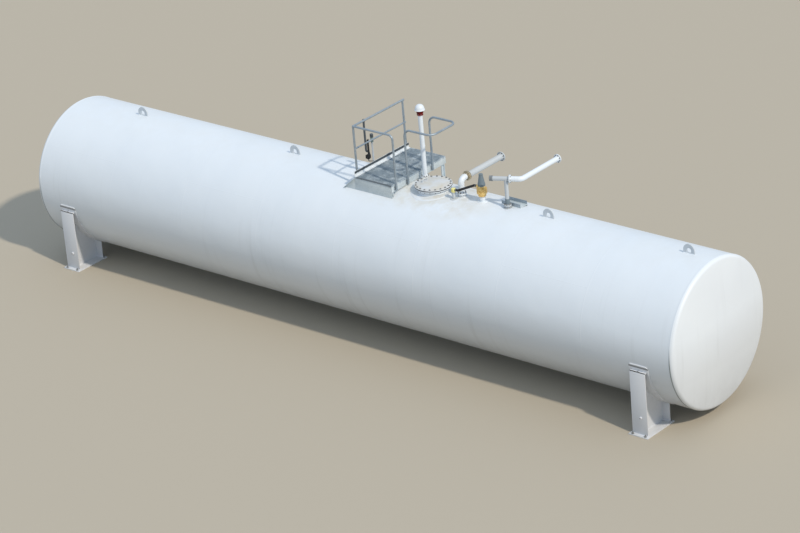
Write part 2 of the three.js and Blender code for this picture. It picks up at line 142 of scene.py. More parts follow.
# Shell: eight courses of 8 mm steel plate, rolled round and butt welded. Each girth seam stands up as a
# thin bead and pulls the plate in a little beside it, which draws a faint line in the shine.
SHELL_LOW, SHELL_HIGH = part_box("shell")
RADIUS = (SHELL_HIGH.z - SHELL_LOW.z) / 2
AXIS_Z = (SHELL_HIGH.z + SHELL_LOW.z) / 2
CROWN_Z = SHELL_HIGH.z
SHELL_END = SHELL_HIGH.x
WALL = 0.008
COURSES = 8
BEAD_HALF = 0.008
BEAD_HEIGHT = 0.0014
SEAM_PULL = 0.0007
SEAM_REACH = 0.16
LONG_SEAM_ANGLES = (52, -64)
TURN_STEPS = 256

# Turns Z, the way every shape is made, towards X or Y.
TO_X = Matrix.Rotation(math.pi / 2, 4, "Y")
TO_Y = Matrix.Rotation(-math.pi / 2, 4, "X")
AXIS = Matrix.Translation((0, 0, AXIS_Z)) @ TO_X


# A placing matrix: a move, after an optional turn.
def at(x, y, z, turn=Matrix()):
    return Matrix.Translation((x, y, z)) @ turn


# Where the weather and painted shade show on the enamel, in metres: run-off from below the crown, a
# darkening under the middle that is part grime and part painted shade, splash near the ground, the tread
# zone round the manway, and the ends along X between which that darkening grows. Then the rolled plate's
# swell, and the pimples of the sprayed skin, which are drawn coarser than the real ones so that they show.
RUN_OFF_TOP, RUN_OFF_FULL = 2.95, 1.5
GRIME_AND_SHADE_TOP, GRIME_AND_SHADE_FULL = 1.95, 1.1
SPLASH_TOP, SPLASH_FULL = 1.0, 0.05
TREAD_X, TREAD_HALF, TREAD_END = 1.5, 0.7, 1.5
LIGHTER_END_X, DARKER_END_X = -7.0, 7.0
PLATE_WAVE = 0.016
PEEL = 0.012


# White two-pack enamel, sprayed on blasted steel: satin and slightly cool, chalked in patches, with thin
# run-off lines down the sides, dust that settled on what faces up, a beige tread zone round the manway,
# a darkening below the middle that is part grime and part painted shade, stronger towards the right end,
# and grey splash near the ground. One amount scales the dirt and the painted shade together. The run-off
# varies along the axis that has the large number in across, in waves per metre.
def enamel(name, paint, chalked, across=(5.5, 0.3, 0.3), rough=0.42, dirt_and_shade=1.0):
    made, tree, shader = new_material(name)
    place = add_node(tree, "TexCoord")["Object"]
    along, _, height = add_node(tree, "SeparateXYZ", {0: place})
    facing = add_node(tree, "NewGeometry")["Normal"]
    upward = add_node(tree, "SeparateXYZ", {0: facing})[2]
    patches = add_node(tree, "TexNoise", {"Vector": place, "Scale": 0.55, "Detail": 4.0})[0]
    tone = add_node(tree, "MapRange", {0: patches, 1: 0.35, 2: 0.68})[0]
    body = add_node(tree, "Mix", {0: tone, 6: colour(paint), 7: colour(chalked)}, data_type="RGBA")[2]

    stretched = add_node(tree, "Mapping", {"Vector": place, "Scale": across})[0]
    lines = add_node(tree, "TexNoise", {"Vector": stretched, "Scale": 1.0, "Detail": 5.0,
                                        "Roughness": 0.6})[0]
    thin = add_node(tree, "MapRange", {0: lines, 1: 0.55, 2: 0.74}, interpolation_type="SMOOTHSTEP")[0]
    low_down = {0: height, 1: RUN_OFF_TOP, 2: RUN_OFF_FULL, 3: 0.02, 4: 0.13 * dirt_and_shade}
    below = add_node(tree, "MapRange", low_down)[0]
    run_off = add_node(tree, "Math", {0: thin, 1: below}, operation="MULTIPLY")[0]
    streaked = add_node(tree, "Mix", {0: run_off, 6: body, 7: colour("#8C8F8B")}, data_type="RGBA")[2]

    grains = add_node(tree, "TexNoise", {"Vector": place, "Scale": 3.2, "Detail": 7.0,
                                         "Roughness": 0.62})[0]
    settled = add_node(tree, "MapRange", {0: grains, 1: 0.36, 2: 0.70})[0]
    top = add_node(tree, "MapRange", {0: upward, 1: 0.80, 2: 1.0, 4: 0.07 * dirt_and_shade})[0]
    film = add_node(tree, "Math", {0: settled, 1: top}, operation="MULTIPLY")[0]
    from_tread = add_node(tree, "Math", {0: along, 1: TREAD_X}, operation="SUBTRACT")[0]
    off = add_node(tree, "Math", {0: from_tread}, operation="ABSOLUTE")[0]
    near = add_node(tree, "MapRange", {0: off, 1: TREAD_END, 2: TREAD_HALF})[0]
    walked = add_node(tree, "MapRange", {0: upward, 1: 0.84, 2: 0.97, 4: 0.5 * dirt_and_shade})[0]
    tread = add_node(tree, "Math", {0: near, 1: walked}, operation="MULTIPLY")[0]
    trodden = add_node(tree, "Math", {0: tread, 1: settled}, operation="MULTIPLY")[0]
    dust = add_node(tree, "Math", {0: film, 1: trodden}, operation="ADD", use_clamp=True)[0]
    dusty = add_node(tree, "Mix", {0: dust, 6: streaked, 7: colour("#C6B897")}, data_type="RGBA")[2]

    # Painted shade: a darkening below the middle, part grime and part shade, growing from the left end to
    # the right.
    towards_right = {0: along, 1: LIGHTER_END_X, 2: DARKER_END_X, 3: 0.19 * dirt_and_shade, 4: 0.33 * dirt_and_shade}
    darker_to_right = add_node(tree, "MapRange", towards_right)[0]
    grime_and_shade = add_node(tree, "MapRange", {0: height, 1: GRIME_AND_SHADE_TOP, 2: GRIME_AND_SHADE_FULL, 4: darker_to_right})[0]
    grimed_and_shaded = add_node(tree, "Mix", {0: grime_and_shade, 6: dusty, 7: colour("#8F877C")}, data_type="RGBA")[2]
    low = add_node(tree, "MapRange", {0: height, 1: SPLASH_TOP, 2: SPLASH_FULL, 4: 0.6 * dirt_and_shade})[0]
    splash = add_node(tree, "Math", {0: low, 1: grains}, operation="MULTIPLY")[0]
    soiled = add_node(tree, "Mix", {0: splash, 6: grimed_and_shaded, 7: colour("#6F6A62")}, data_type="RGBA")[2]
    tree.links.new(soiled, shader.inputs["Base Color"])
    dull = add_node(tree, "Math", {0: dust, 1: 0.35, 2: rough}, operation="MULTIPLY_ADD")[0]
    tree.links.new(dull, shader.inputs["Roughness"])
    waves = add_node(tree, "TexNoise", {"Vector": place, "Scale": 1.1, "Detail": 2.0})[0]
    swell = add_node(tree, "Bump", {"Strength": 1.0, "Distance": PLATE_WAVE, "Height": waves})[0]
    peel = add_node(tree, "TexNoise", {"Vector": place, "Scale": 1 / PEEL, "Detail": 2.0})[0]
    skin = add_node(tree, "Bump", {"Strength": 0.25, "Distance": 0.0008, "Height": peel,
                                   "Normal": swell})[0]
    tree.links.new(skin, shader.inputs["Normal"])
    return made


white_enamel = enamel("white_two_pack_enamel", "#E4EBF1", "#DFE7EE")


# Turns the faces of a shape or a piece outwards.
def faced_out(piece):
    bmesh.ops.recalc_face_normals(piece, faces=piece.faces)


# A lathe shape about Z from (radius, height) points, with poles and seams closed.
def turned(profile, steps=40):
    shape = bmesh.new()
    start = [shape.verts.new((radius, 0, height)) for radius, height in profile]
    line = [shape.edges.new(pair) for pair in zip(start, start[1:])]
    bmesh.ops.spin(shape, geom=start + line, cent=(0, 0, 0), axis=(0, 0, 1), angle=math.tau, steps=steps,
                   use_merge=True)
    bmesh.ops.remove_doubles(shape, verts=shape.verts, dist=1e-6)
    faced_out(shape)
    return shape


# A plain rod about Z between two heights.
def rod(radius, low, high, steps=40):
    return turned([(0, low), (radius, low), (radius, high), (0, high)], steps)


# Copies a shape into a piece, once for each placing matrix, and lets the shape go.
def put(piece, shape, *places):
    carrier = bpy.data.meshes.new("carrier")
    shape.to_mesh(carrier)
    shape.free()
    for place in places or (Matrix(),):
        copy = carrier.copy()
        copy.transform(place)
        piece.from_mesh(copy)
        bpy.data.meshes.remove(copy)
    bpy.data.meshes.remove(carrier)


# The points of a line, with each corner rounded to a bend radius.
def bent(points, bend, steps=8):
    points = [Vector(p) for p in points]
    path = [points[0]]
    for before, corner, after in zip(points, points[1:], points[2:]):
        back, ahead = (before - corner).normalized(), (after - corner).normalized()
        half = back.angle(ahead) / 2
        centre = corner + (back + ahead).normalized() * (bend / math.sin(half))
        first = corner + back * (bend / math.tan(half)) - centre
        axis = ahead.cross(back).normalized()
        for k in range(steps + 1):
            path.append(centre + Matrix.Rotation((math.pi - 2 * half) * k / steps, 3, axis) @ first)
    return path + [points[-1]]


# A closed round bar along a path: a ring is extruded from point to point and turned to face the way ahead.
def tube(path, radius, sides=20):
    shape = bmesh.new()
    path = [Vector(p) for p in path]
    gaps = [(b - a).normalized() for a, b in zip(path, path[1:])]
    ways = [gaps[0]] + [(a + b).normalized() for a, b in zip(gaps, gaps[1:])] + [gaps[-1]]
    bmesh.ops.create_circle(shape, cap_ends=True, segments=sides, radius=radius)
    facing = ways[0].to_track_quat("Z", "Y").to_matrix().to_4x4()
    bmesh.ops.transform(shape, matrix=Matrix.Translation(path[0]) @ facing, verts=shape.verts)
    rim = list(shape.edges)
    for i in range(1, len(path)):
        made = bmesh.ops.extrude_edge_only(shape, edges=rim)["geom"]
        ring = [g for g in made if isinstance(g, bmesh.types.BMVert)]
        turn = ways[i - 1].rotation_difference(ways[i]).to_matrix()
        bmesh.ops.rotate(shape, cent=path[i - 1], matrix=turn, verts=ring)
        bmesh.ops.translate(shape, vec=path[i] - path[i - 1], verts=ring)
        rim = [g for g in made if isinstance(g, bmesh.types.BMEdge) and set(g.verts) <= set(ring)]
    bmesh.ops.contextual_create(shape, geom=rim)
    faced_out(shape)
    return shape


# Makes the finished object of a piece's mesh, gives it its
# material and body, and hides what it replaces.
def finished(name, piece, material, slot, *nodes, sharp=32):
    for face in piece.faces:
        face.smooth = True
    for edge in piece.edges:
        edge.smooth = len(edge.link_faces) == 2 and edge.calc_face_angle(0.0) < math.radians(sharp)
    mesh = bpy.data.meshes.new(name)
    piece.to_mesh(mesh)
    piece.free()
    mesh.materials.append(material)
    made = bpy.data.objects.new(name, mesh)
    bpy.context.scene.collection.objects.link(made)
    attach(made, "root")
    if nodes:
        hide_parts(*nodes)
    return made


# Gives a skin its plate thickness, on the inside.
def walled(skin):
    wall = skin.modifiers.new("wall", "SOLIDIFY")
    wall.thickness = WALL
    wall.offset = -1


course = 2 * SHELL_END / COURSES
seams = [-SHELL_END + course * k for k in range(1, COURSES)]
profile = [(RADIUS, -SHELL_END), (RADIUS, -SHELL_END + 0.02)]
for seam in seams:
    for off in (-1.0, -0.6, -0.3, -0.12):
        profile.append((RADIUS - SEAM_PULL * (1 + off) ** 2, seam + off * SEAM_REACH))
    for off, rise in ((-1, 0.0), (-0.6, 0.75), (0, 1.0), (0.6, 0.75), (1, 0.0)):
        profile.append((RADIUS - SEAM_PULL + BEAD_HEIGHT * rise, seam + off * BEAD_HALF))
    for off in (0.12, 0.3, 0.6, 1.0):
        profile.append((RADIUS - SEAM_PULL * (1 - off) ** 2, seam + off * SEAM_REACH))
profile += [(RADIUS, SHELL_END - 0.02), (RADIUS, SHELL_END)]
shell = bmesh.new()
put(shell, turned(profile, TURN_STEPS), AXIS)
walled(finished("shell_plate", shell, white_enamel, "white_paint", "shell", sharp=60))

# Long seams: each course is one plate, so it has one weld along X, set off from its neighbours' welds.
# The bead is a little wider than high and half sunk in the plate.
long_welds = bmesh.new()
for k in range(COURSES):
    start = -SHELL_END + course * k + 0.012
    angle = math.radians(LONG_SEAM_ANGLES[k % 2])
    bead = tube([(start, 0, 0), (start + course - 0.024, 0, 0)], BEAD_HALF, 10)
    squeeze = Matrix.Diagonal((1, 1, BEAD_HEIGHT / BEAD_HALF, 1))
    round_to = at(0, 0, AXIS_Z) @ Matrix.Rotation(angle, 4, "X")
    put(long_welds, bead, round_to @ at(0, 0, RADIUS - 0.0005, squeeze))
finished("shell_long_welds", long_welds, white_enamel, "white_paint")


# Dished ends: one pressed plate each, a shallow crown that turns into the shell through a small knuckle.
# Same enamel, with its run-off lines set across the face, and a ring weld where end and shell meet.
HEAD_LOW, HEAD_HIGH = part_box("head_right")
HEAD_RISE = HEAD_HIGH.x - HEAD_LOW.x
KNUCKLE = 0.07
KNUCKLE_STEPS = 10
DISH_STEPS = 18
head_enamel = enamel("white_enamel_on_ends", "#E5EBF0", "#E0E6EC", across=(0.3, 4.5, 0.3), dirt_and_shade=0.7)
flat = RADIUS - KNUCKLE
slope = 2 * math.atan((HEAD_RISE - KNUCKLE) / flat)
dish_rim = flat + KNUCKLE * math.sin(slope)
dish_radius = dish_rim / math.sin(slope)
profile = []
for k in range(KNUCKLE_STEPS + 1):
    a = (math.pi / 2 - slope) * k / KNUCKLE_STEPS
    profile.append((flat + KNUCKLE * math.cos(a), KNUCKLE * math.sin(a)))
for k in range(1, DISH_STEPS + 1):
    a = slope * (1 - k / DISH_STEPS)
    profile.append((dish_radius * math.sin(a), HEAD_RISE - dish_radius * (1 - math.cos(a))))
for name, side in (("head_right", 1), ("head_left", -1)):
    head = bmesh.new()
    outward = Matrix.Diagonal((side, 1, 1, 1)) @ Matrix.Translation((HEAD_LOW.x, 0, AXIS_Z)) @ TO_X
    put(head, turned(profile, TURN_STEPS), outward)
    faced_out(head)
    walled(finished(name.replace("head", "dished_end"), head, head_enamel, "white_paint", name))


# Darkens an enamel between two heights.
def darkened_band(made, low, high, tint, amount, soft=0.012):
    tree = made.node_tree
    shader = tree.nodes["Principled BSDF"]
    clean = shader.inputs["Base Color"].links[0].from_socket
    place = add_node(tree, "TexCoord")["Object"]
    height = add_node(tree, "SeparateXYZ", {0: place})[2]
    above = add_node(tree, "MapRange", {0: height, 1: low, 2: low + soft, 4: amount})[0]
    below = add_node(tree, "MapRange", {0: height, 1: high, 2: high - soft})[0]
    band = add_node(tree, "Math", {0: above, 1: below}, operation="MULTIPLY")[0]
    darkened = add_node(tree, "Mix", {0: band, 6: clean, 7: colour(tint)}, data_type="RGBA")[2]
    tree.links.new(darkened, shader.inputs["Base Color"])


# The ring welds: a raised, rounded bead over the joint of
# shell and end. Below the middle they are darkened, as painted shade along the joint.
ring_welds = bmesh.new()
bead = [(RADIUS - 0.004, -0.014), (RADIUS + 0.0015, -0.012), (RADIUS + 0.0035, -0.004)]
bead += [(RADIUS + 0.0035, 0.004), (RADIUS + 0.0015, 0.012), (RADIUS - 0.004, 0.014),
         (RADIUS - 0.004, -0.014)]
put(ring_welds, turned(bead, TURN_STEPS), at(SHELL_END, 0, AXIS_Z, TO_X), at(-SHELL_END, 0, AXIS_Z, TO_X))
shade_band_weld_enamel = enamel("white_enamel_on_ring_welds_painted_shade", "#E4EBF1", "#DFE7EE")
darkened_band(shade_band_weld_enamel, 0.05, 1.9, "#66706D", 0.75, soft=0.35)
finished("end_ring_welds", ring_welds, shade_band_weld_enamel, "white_paint")


# Legs: four weldments of 14 mm plate, each a web between an outer and an inner flange on a base plate, with
# a curved wear plate that spreads the load on the shell. Fillet welded, painted with the tank, bolted down.
LEG_PLATE = 0.014
BASE_PLATE = 0.020
WEAR_PLATE = 0.012
WEAR_FROM, WEAR_TO = math.radians(28.1), math.radians(81)
WEAR_HALF = 0.21
WEAR_CORNER = 0.035
FLANGE_HALF = 0.17
LEG_OUT = 1.475
LEG_IN = 0.775
LEG_TOP = 1.28
ANCHOR = 0.024
FILLET = 0.009


# Eases the given edges of a shape by a small bevel.
def eased(shape, edges, width, segments=2):
    bmesh.ops.bevel(shape, geom=edges, offset=width, offset_type="OFFSET", segments=segments, profile=0.5,
                    affect="EDGES", material=-1, clamp_overlap=True)


# Draws a face out along a way, and turns the closed shape's faces outwards.
def drawn_out(shape, face, way):
    made = bmesh.ops.extrude_face_region(shape, geom=[face])["geom"]
    bmesh.ops.translate(shape, vec=way, verts=[g for g in made if isinstance(g, bmesh.types.BMVert)])
    faced_out(shape)


# A plate from an outline in the plane across Z, with its edges eased.
def plate(outline, thickness, edge=0.0015):
    shape = bmesh.new()
    face = shape.faces.new([shape.verts.new((u, v, 0)) for u, v in outline])
    drawn_out(shape, face, (0, 0, thickness))
    if edge:
        eased(shape, [e for e in shape.edges if e.calc_face_angle(0.0) > math.radians(25)], edge)
    return shape


# A straight-sided block between two corners, with eased edges.
def block(low, high, edge=0.0015, segments=2):
    shape = bmesh.new()
    bmesh.ops.create_cube(shape, size=1.0)
    size = [b - a for a, b in zip(low, high)]
    middle = [(a + b) / 2 for a, b in zip(low, high)]
    bmesh.ops.scale(shape, vec=size, verts=shape.verts)
    bmesh.ops.translate(shape, vec=middle, verts=shape.verts)
    eased(shape, list(shape.edges), min(edge, 0.4 * min(size)), segments)
    return shape


# A fillet weld between two points: a three-sided bead that fills the corner between two directions.
def fillet(start, end, wall_way, floor_way, size=FILLET):
    shape = bmesh.new()
    start, end = Vector(start), Vector(end)
    corner = [start, start + Vector(wall_way) * size, start + Vector(floor_way) * size]
    drawn_out(shape, shape.faces.new([shape.verts.new(p) for p in corner]), end - start)
    return shape


# A hexagon head or nut on a washer, standing on z = 0, with the bolt's end above it where stick is given.
def bolt(size, stick=0.0):
    shape = bmesh.new()
    thick, high = size * 0.16, size * 0.7
    layers = [(20, size * 1.1, size * 1.1, 0, thick), (6, size * 0.87, size * 0.87, thick, high)]
    if stick:
        layers.append((16, size / 2, size * 0.42, thick + high, stick))
    for sides, radius, end_radius, foot, depth in layers:
        made = bmesh.ops.create_cone(shape, cap_ends=True, segments=sides, radius1=radius,
                                     radius2=end_radius, depth=depth,
                                     matrix=at(0, 0, foot + depth / 2))["verts"]
        if sides == 6:
            rim = {e for v in made for e in v.link_edges
                   if all(u.co.z > foot + depth * 0.9 for u in e.verts)}
            eased(shape, list(rim), size * 0.09, 1)
    return shape


# A finish that clouds from one tone to another, and from one roughness to another where both are given. It
# returns the material, and its tree, shader and cloud for what is added to them.
def clouded(name, tone, other, scale, detail, rough=None, **values):
    made, tree, shader = new_material(name, **values)
    place = add_node(tree, "TexCoord")["Object"]
    cloud = add_node(tree, "TexNoise", {"Vector": place, "Scale": scale, "Detail": detail})[0]
    tones = {0: cloud, 6: colour(tone), 7: colour(other)}
    tree.links.new(add_node(tree, "Mix", tones, data_type="RGBA")[2], shader.inputs["Base Color"])
    if rough:
        dull = add_node(tree, "MapRange", {0: cloud, 3: rough[0], 4: rough[1]})[0]
        tree.links.new(dull, shader.inputs["Roughness"])
    return made, tree, shader, cloud


# Zinc plated steel: bolts and nuts, a dull silver that has greyed outdoors, rougher in the recesses.
zinc = clouded("zinc_plated_steel", "#A6ABAE", "#817C74", 35.0, 4.0, (0.34, 0.62), Metallic=0.75)[0]


# The bottom edge of the shell side seen from the end: the point at an angle from straight down.
def round_shell(angle, radius):
    return math.sin(angle) * radius, AXIS_Z - math.cos(angle) * radius


# Turns for a plate's outline: to stand across X, and along X with its thickness towards +Y or -Y.
ACROSS_X = Matrix(((0, 0, 1, 0), (1, 0, 0, 0), (0, 1, 0, 0), (0, 0, 0, 1)))
ALONG_X = Matrix(((1, 0, 0, 0), (0, 0, 1, 0), (0, 1, 0, 0), (0, 0, 0, 1)))
ALONG_X_BACK = Matrix(((1, 0, 0, 0), (0, 0, -1, 0), (0, 1, 0, 0), (0, 0, 0, 1)))
UP = (0, 0, 1)


# One leg, made on the +Y side at x = 0.
def leg_shape():
    leg = bmesh.new()
    seat = RADIUS + WEAR_PLATE
    from_angle = math.asin((LEG_IN + 0.002) / seat)
    to_angle = math.acos((AXIS_Z - LEG_TOP) / seat)
    curve = [round_shell(to_angle + (from_angle - to_angle) * k / 20, seat) for k in range(21)]
    web_in, web_out = LEG_IN + LEG_PLATE, LEG_OUT - LEG_PLATE
    web = [(LEG_IN, BASE_PLATE), (web_out, BASE_PLATE), (web_out, LEG_TOP)] + curve
    put(leg, plate(web, LEG_PLATE, edge=0), at(-LEG_PLATE / 2, 0, 0, ACROSS_X))
    put(leg, block((-FLANGE_HALF, web_out, BASE_PLATE), (FLANGE_HALF, LEG_OUT, LEG_TOP)))
    cap_from = round_shell(to_angle, seat)[0]
    put(leg, block((-FLANGE_HALF, cap_from, LEG_TOP - LEG_PLATE), (FLANGE_HALF, LEG_OUT, LEG_TOP)))
    inner_top = round_shell(from_angle, seat)[1]
    put(leg, block((-FLANGE_HALF, LEG_IN, BASE_PLATE), (FLANGE_HALF, web_in, inner_top)))
    put(leg, block((-FLANGE_HALF - 0.045, LEG_IN - 0.06, 0.0),
                   (FLANGE_HALF + 0.045, LEG_OUT + 0.075, BASE_PLATE)))

    wear = bmesh.new()
    loop = [wear.verts.new((x, math.sin(WEAR_FROM) * r, AXIS_Z - math.cos(WEAR_FROM) * r))
            for x, r in ((-WEAR_HALF, RADIUS + 0.0004), (WEAR_HALF, RADIUS + 0.0004),
                         (WEAR_HALF, RADIUS + WEAR_PLATE), (-WEAR_HALF, RADIUS + WEAR_PLATE))]
    sides = [wear.edges.new((loop[k], loop[(k + 1) % 4])) for k in range(4)]
    bmesh.ops.spin(wear, geom=loop + sides, cent=(0, 0, AXIS_Z), axis=(1, 0, 0), angle=WEAR_TO - WEAR_FROM,
                   steps=32)
    bmesh.ops.holes_fill(wear, edges=wear.edges, sides=4)
    faced_out(wear)
    corners = [e for e in wear.edges if all(len(v.link_edges) == 3 for v in e.verts)
               and abs(e.verts[0].co.x - e.verts[1].co.x) < 1e-6]
    eased(wear, corners, WEAR_CORNER, 5)
    put(leg, wear)

    half = LEG_PLATE / 2
    for side in (-1, 1):
        out = (side, 0, 0)
        corner = (side * half, web_out, BASE_PLATE)
        put(leg, fillet((side * half, web_in, BASE_PLATE), corner, UP, out))
        put(leg, fillet(corner, (side * half, web_out, LEG_TOP), (0, -1, 0), out))
    for y, way in ((LEG_OUT, 1), (web_out, -1), (LEG_IN, -1), (web_in, 1)):
        put(leg, fillet((-FLANGE_HALF, y, BASE_PLATE), (FLANGE_HALF, y, BASE_PLATE), UP, (0, way, 0)))
    arc = [(0, *round_shell(to_angle + (from_angle - to_angle) * k / 16, seat)) for k in range(17)]
    put(leg, tube(arc, FILLET, 8), at(-half, 0, 0), at(half, 0, 0))
    angles = [WEAR_FROM + 0.03 + (WEAR_TO - WEAR_FROM - 0.06) * k / 30 for k in range(31)]
    for x in (-WEAR_HALF, WEAR_HALF):
        put(leg, tube([(x, *round_shell(angle, RADIUS + 0.003)) for angle in angles], 0.007, 8))
    for a, size in ((WEAR_FROM, 0.007), (WEAR_TO, 0.012)):
        y, z = round_shell(a, RADIUS + 0.005)
        put(leg, tube([(-WEAR_HALF + 0.03, y, z), (WEAR_HALF - 0.03, y, z)], size, 10))
    return leg


# The tank's enamel again, less soiled, and darkened in a band just under the wear plate's top.
EARTH_X, EARTH_Z = 0.03, 0.36
EARTH_BOSS, EARTH_LONG = 0.026, 0.028
WEAR_TOP = round_shell(WEAR_TO, RADIUS)[1]
leg_enamel = enamel("white_enamel_on_legs", "#E3E6EA", "#DADEE3", dirt_and_shade=0.35)
darkened_band(leg_enamel, WEAR_TOP - 0.060, WEAR_TOP - 0.014, "#5E6163", 0.8)
anchors = bmesh.new()
for lengthwise in ("left", "right"):
    for crosswise in ("front", "back"):
        node = f"leg_{lengthwise}_{crosswise}"
        low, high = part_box(node)
        middle = (low.x + high.x) / 2
        side = at(middle, 0, 0, Matrix.Diagonal((1, -1 if crosswise == "front" else 1, 1, 1)))
        leg = bmesh.new()
        put(leg, leg_shape(), side)
        put(leg, rod(EARTH_BOSS, 0, EARTH_LONG, 20), side @ at(EARTH_X, LEG_OUT, EARTH_Z, TO_Y))
        faced_out(leg)
        finished(f"{node}_weldment", leg, leg_enamel, "white_paint", node)
        spots = [(x, y) for x in (-0.14, 0.14) for y in (LEG_OUT + 0.042, LEG_IN - 0.032)]
        put(anchors, bolt(ANCHOR, 0.022), *[side @ at(x, y, BASE_PLATE) for x, y in spots])
        put(anchors, bolt(0.010), side @ at(EARTH_X, LEG_OUT + EARTH_LONG, EARTH_Z, TO_Y))
faced_out(anchors)
finished("anchor_bolts", anchors, zinc, "galvanised")


# Lifting lugs: thick arched plates with a shackle hole, flame cut, standing on the crown along the tank.
# Two fillets hold each one, and its edges are ground round before painting. Their enamel is painted a
# duller grey than the tank's, as painted shade on their upright faces.
shade_grey_lug_enamel = enamel("shade_greyed_enamel_on_lugs", "#CDD4D9", "#C2C9CF", rough=0.5)
LUG_HALF = 0.125
LUG_THICK = 0.024
LUG_EYE = 0.05
EYE_UP = 0.06
ARCH_STEPS = 28
lug_welds = bmesh.new()
for k in range(1, 5):
    low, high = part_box(f"lifting_lug_{k}")
    middle = (low.x + high.x) / 2
    arch_z = high.z - LUG_HALF - CROWN_Z
    angles = [math.pi * step / ARCH_STEPS for step in range(ARCH_STEPS + 1)]
    outline = [(-LUG_HALF, -0.01), (LUG_HALF, -0.01)]
    outline += [(LUG_HALF * math.cos(a), arch_z + LUG_HALF * math.sin(a)) for a in angles]
    lug = bmesh.new()
    put(lug, plate(outline, LUG_THICK, edge=0), at(middle, LUG_THICK / 2, CROWN_Z,
                                                   Matrix.Rotation(math.pi / 2, 4, "X")))
    made = finished(f"lug_{k}_plate", lug, shade_grey_lug_enamel, "white_paint", f"lifting_lug_{k}")
    cutter = bmesh.new()
    put(cutter, rod(LUG_EYE, -0.05, 0.05, 32), at(middle, 0, CROWN_Z + EYE_UP, TO_Y))
    cutter_mesh = bpy.data.meshes.new("eye")
    cutter.to_mesh(cutter_mesh)
    cutter.free()
    cutter_piece = bpy.data.objects.new("eye", cutter_mesh)
    bpy.context.scene.collection.objects.link(cutter_piece)
    cut = made.modifiers.new("eye", "BOOLEAN")
    cut.object = cutter_piece
    ease = made.modifiers.new("ease", "BEVEL")
    ease.width = 0.003
    ease.segments = 3
    solid = bpy.data.meshes.new_from_object(made.evaluated_get(bpy.context.evaluated_depsgraph_get()))
    made.modifiers.clear()
    made.data = solid
    bpy.data.objects.remove(cutter_piece)
    for side in (-1, 1):
        y = side * LUG_THICK / 2
        put(lug_welds, fillet((low.x, y, CROWN_Z), (high.x, y, CROWN_Z), UP, (0, side, 0), 0.012))
finished("lug_welds", lug_welds, white_enamel, "white_paint")


# Manway: a short rolled neck through a reinforcing pad, a ring flange, a rubber gasket and a flat bolted
# cover with a lifting handle. All of it is painted with the tank; nuts and bolt heads are bare zinc plate.
COVER_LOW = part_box("manway_cover")[0]
NECK_LOW, NECK_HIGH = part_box("manway_neck")
MANWAY_X = (NECK_LOW.x + NECK_HIGH.x) / 2
RIM = (NECK_HIGH.x - NECK_LOW.x) / 2
NECK_OUT = 0.31
NECK_IN = 0.30
RING_THICK = 0.024
COVER_THICK = 0.022
PAD_OUT = 0.44
PAD_THICK = 0.008
COVER_BOLTS = 20
COVER_BOLT = 0.018
GASKET = 0.008
GRIP_HALF = 0.07
GRIP_R = 0.009


# The height of the shell at a distance across from the crown line.
def shell_z(y):
    return AXIS_Z + math.sqrt(RADIUS ** 2 - y ** 2)


# A ring that lies on the shell round a branch: flat rings are spread outwards and let down onto the shell.
def shell_pad(inner, outer, thickness, x, y, steps=48):
    shape = turned([(inner, 0.0), (inner, thickness), (inner + (outer - inner) / 2, thickness),
                    (outer - 0.006, thickness), (outer, thickness - 0.004), (outer, -0.003),
                    (inner, -0.003), (inner, 0.0)], steps)
    for vert in shape.verts:
        across = vert.co.y + y
        vert.co = (vert.co.x + x, across, vert.co.z + shell_z(across))
    return shape


# A rounded weld ring about Z.
def weld_ring(radius, size, steps=40):
    return turned([(radius - size * 0.3, -size), (radius + size * 0.5, -size * 0.6),
                   (radius + size * 0.7, 0), (radius + size * 0.5, size * 0.6), (radius - size * 0.3, size),
                   (radius - size * 0.3, -size)], steps)


# Placing matrices on a circle about Z.
def circle_of(count, radius, z, first=0.5, turn=Matrix()):
    angles = [math.tau * (k + first) / count for k in range(count)]
    return [Matrix.Rotation(a, 4, "Z") @ at(radius, 0, z, turn) for a in angles]


neck = bmesh.new()
put(neck, turned([(NECK_IN, CROWN_Z - 0.07), (NECK_OUT, CROWN_Z - 0.07),
                  (NECK_OUT, NECK_HIGH.z - RING_THICK - 0.001), (RIM - 0.002, NECK_HIGH.z - RING_THICK),
                  (RIM, NECK_HIGH.z - RING_THICK + 0.002), (RIM, NECK_HIGH.z - 0.002),
                  (RIM - 0.002, NECK_HIGH.z), (NECK_IN, NECK_HIGH.z), (NECK_IN, CROWN_Z - 0.07)], 80),
    at(MANWAY_X, 0, 0))
put(neck, shell_pad(NECK_OUT, PAD_OUT, PAD_THICK, MANWAY_X, 0, 80))
put(neck, weld_ring(NECK_OUT, 0.012, 80), at(MANWAY_X, 0, CROWN_Z + 0.006))
finished("manway_ring_neck", neck, white_enamel, "white_paint", "manway_neck")


# Nitrile rubber: near black and matt on the gasket, the hose and the junction box, chalked grey where the
# sun has bleached it. The finely scuffed skin breaks up what little it reflects.
def nitrile_rubber(name, dark, light):
    made, tree, shader, scuff = clouded(name, dark, light, 60.0, 5.0, (0.55, 0.8))
    rough_skin = add_node(tree, "Bump", {"Strength": 0.5, "Distance": 0.0008, "Height": scuff})[0]
    tree.links.new(rough_skin, shader.inputs["Normal"])
    return made


rubber = nitrile_rubber("black_nitrile_rubber", "#111214", "#2B2C2E")
chalked_rubber = nitrile_rubber("sun_chalked_rubber", "#6A7074", "#8C9296")
gasket = bmesh.new()
put(gasket, turned([(NECK_IN + 0.01, -GASKET), (RIM + 0.001, -GASKET), (RIM + 0.0015, 0),
                    (RIM + 0.001, GASKET), (NECK_IN + 0.01, GASKET), (NECK_IN + 0.01, -GASKET)], 80),
    at(MANWAY_X, 0, NECK_HIGH.z))
finished("manway_gasket", gasket, rubber, "black_rubber")
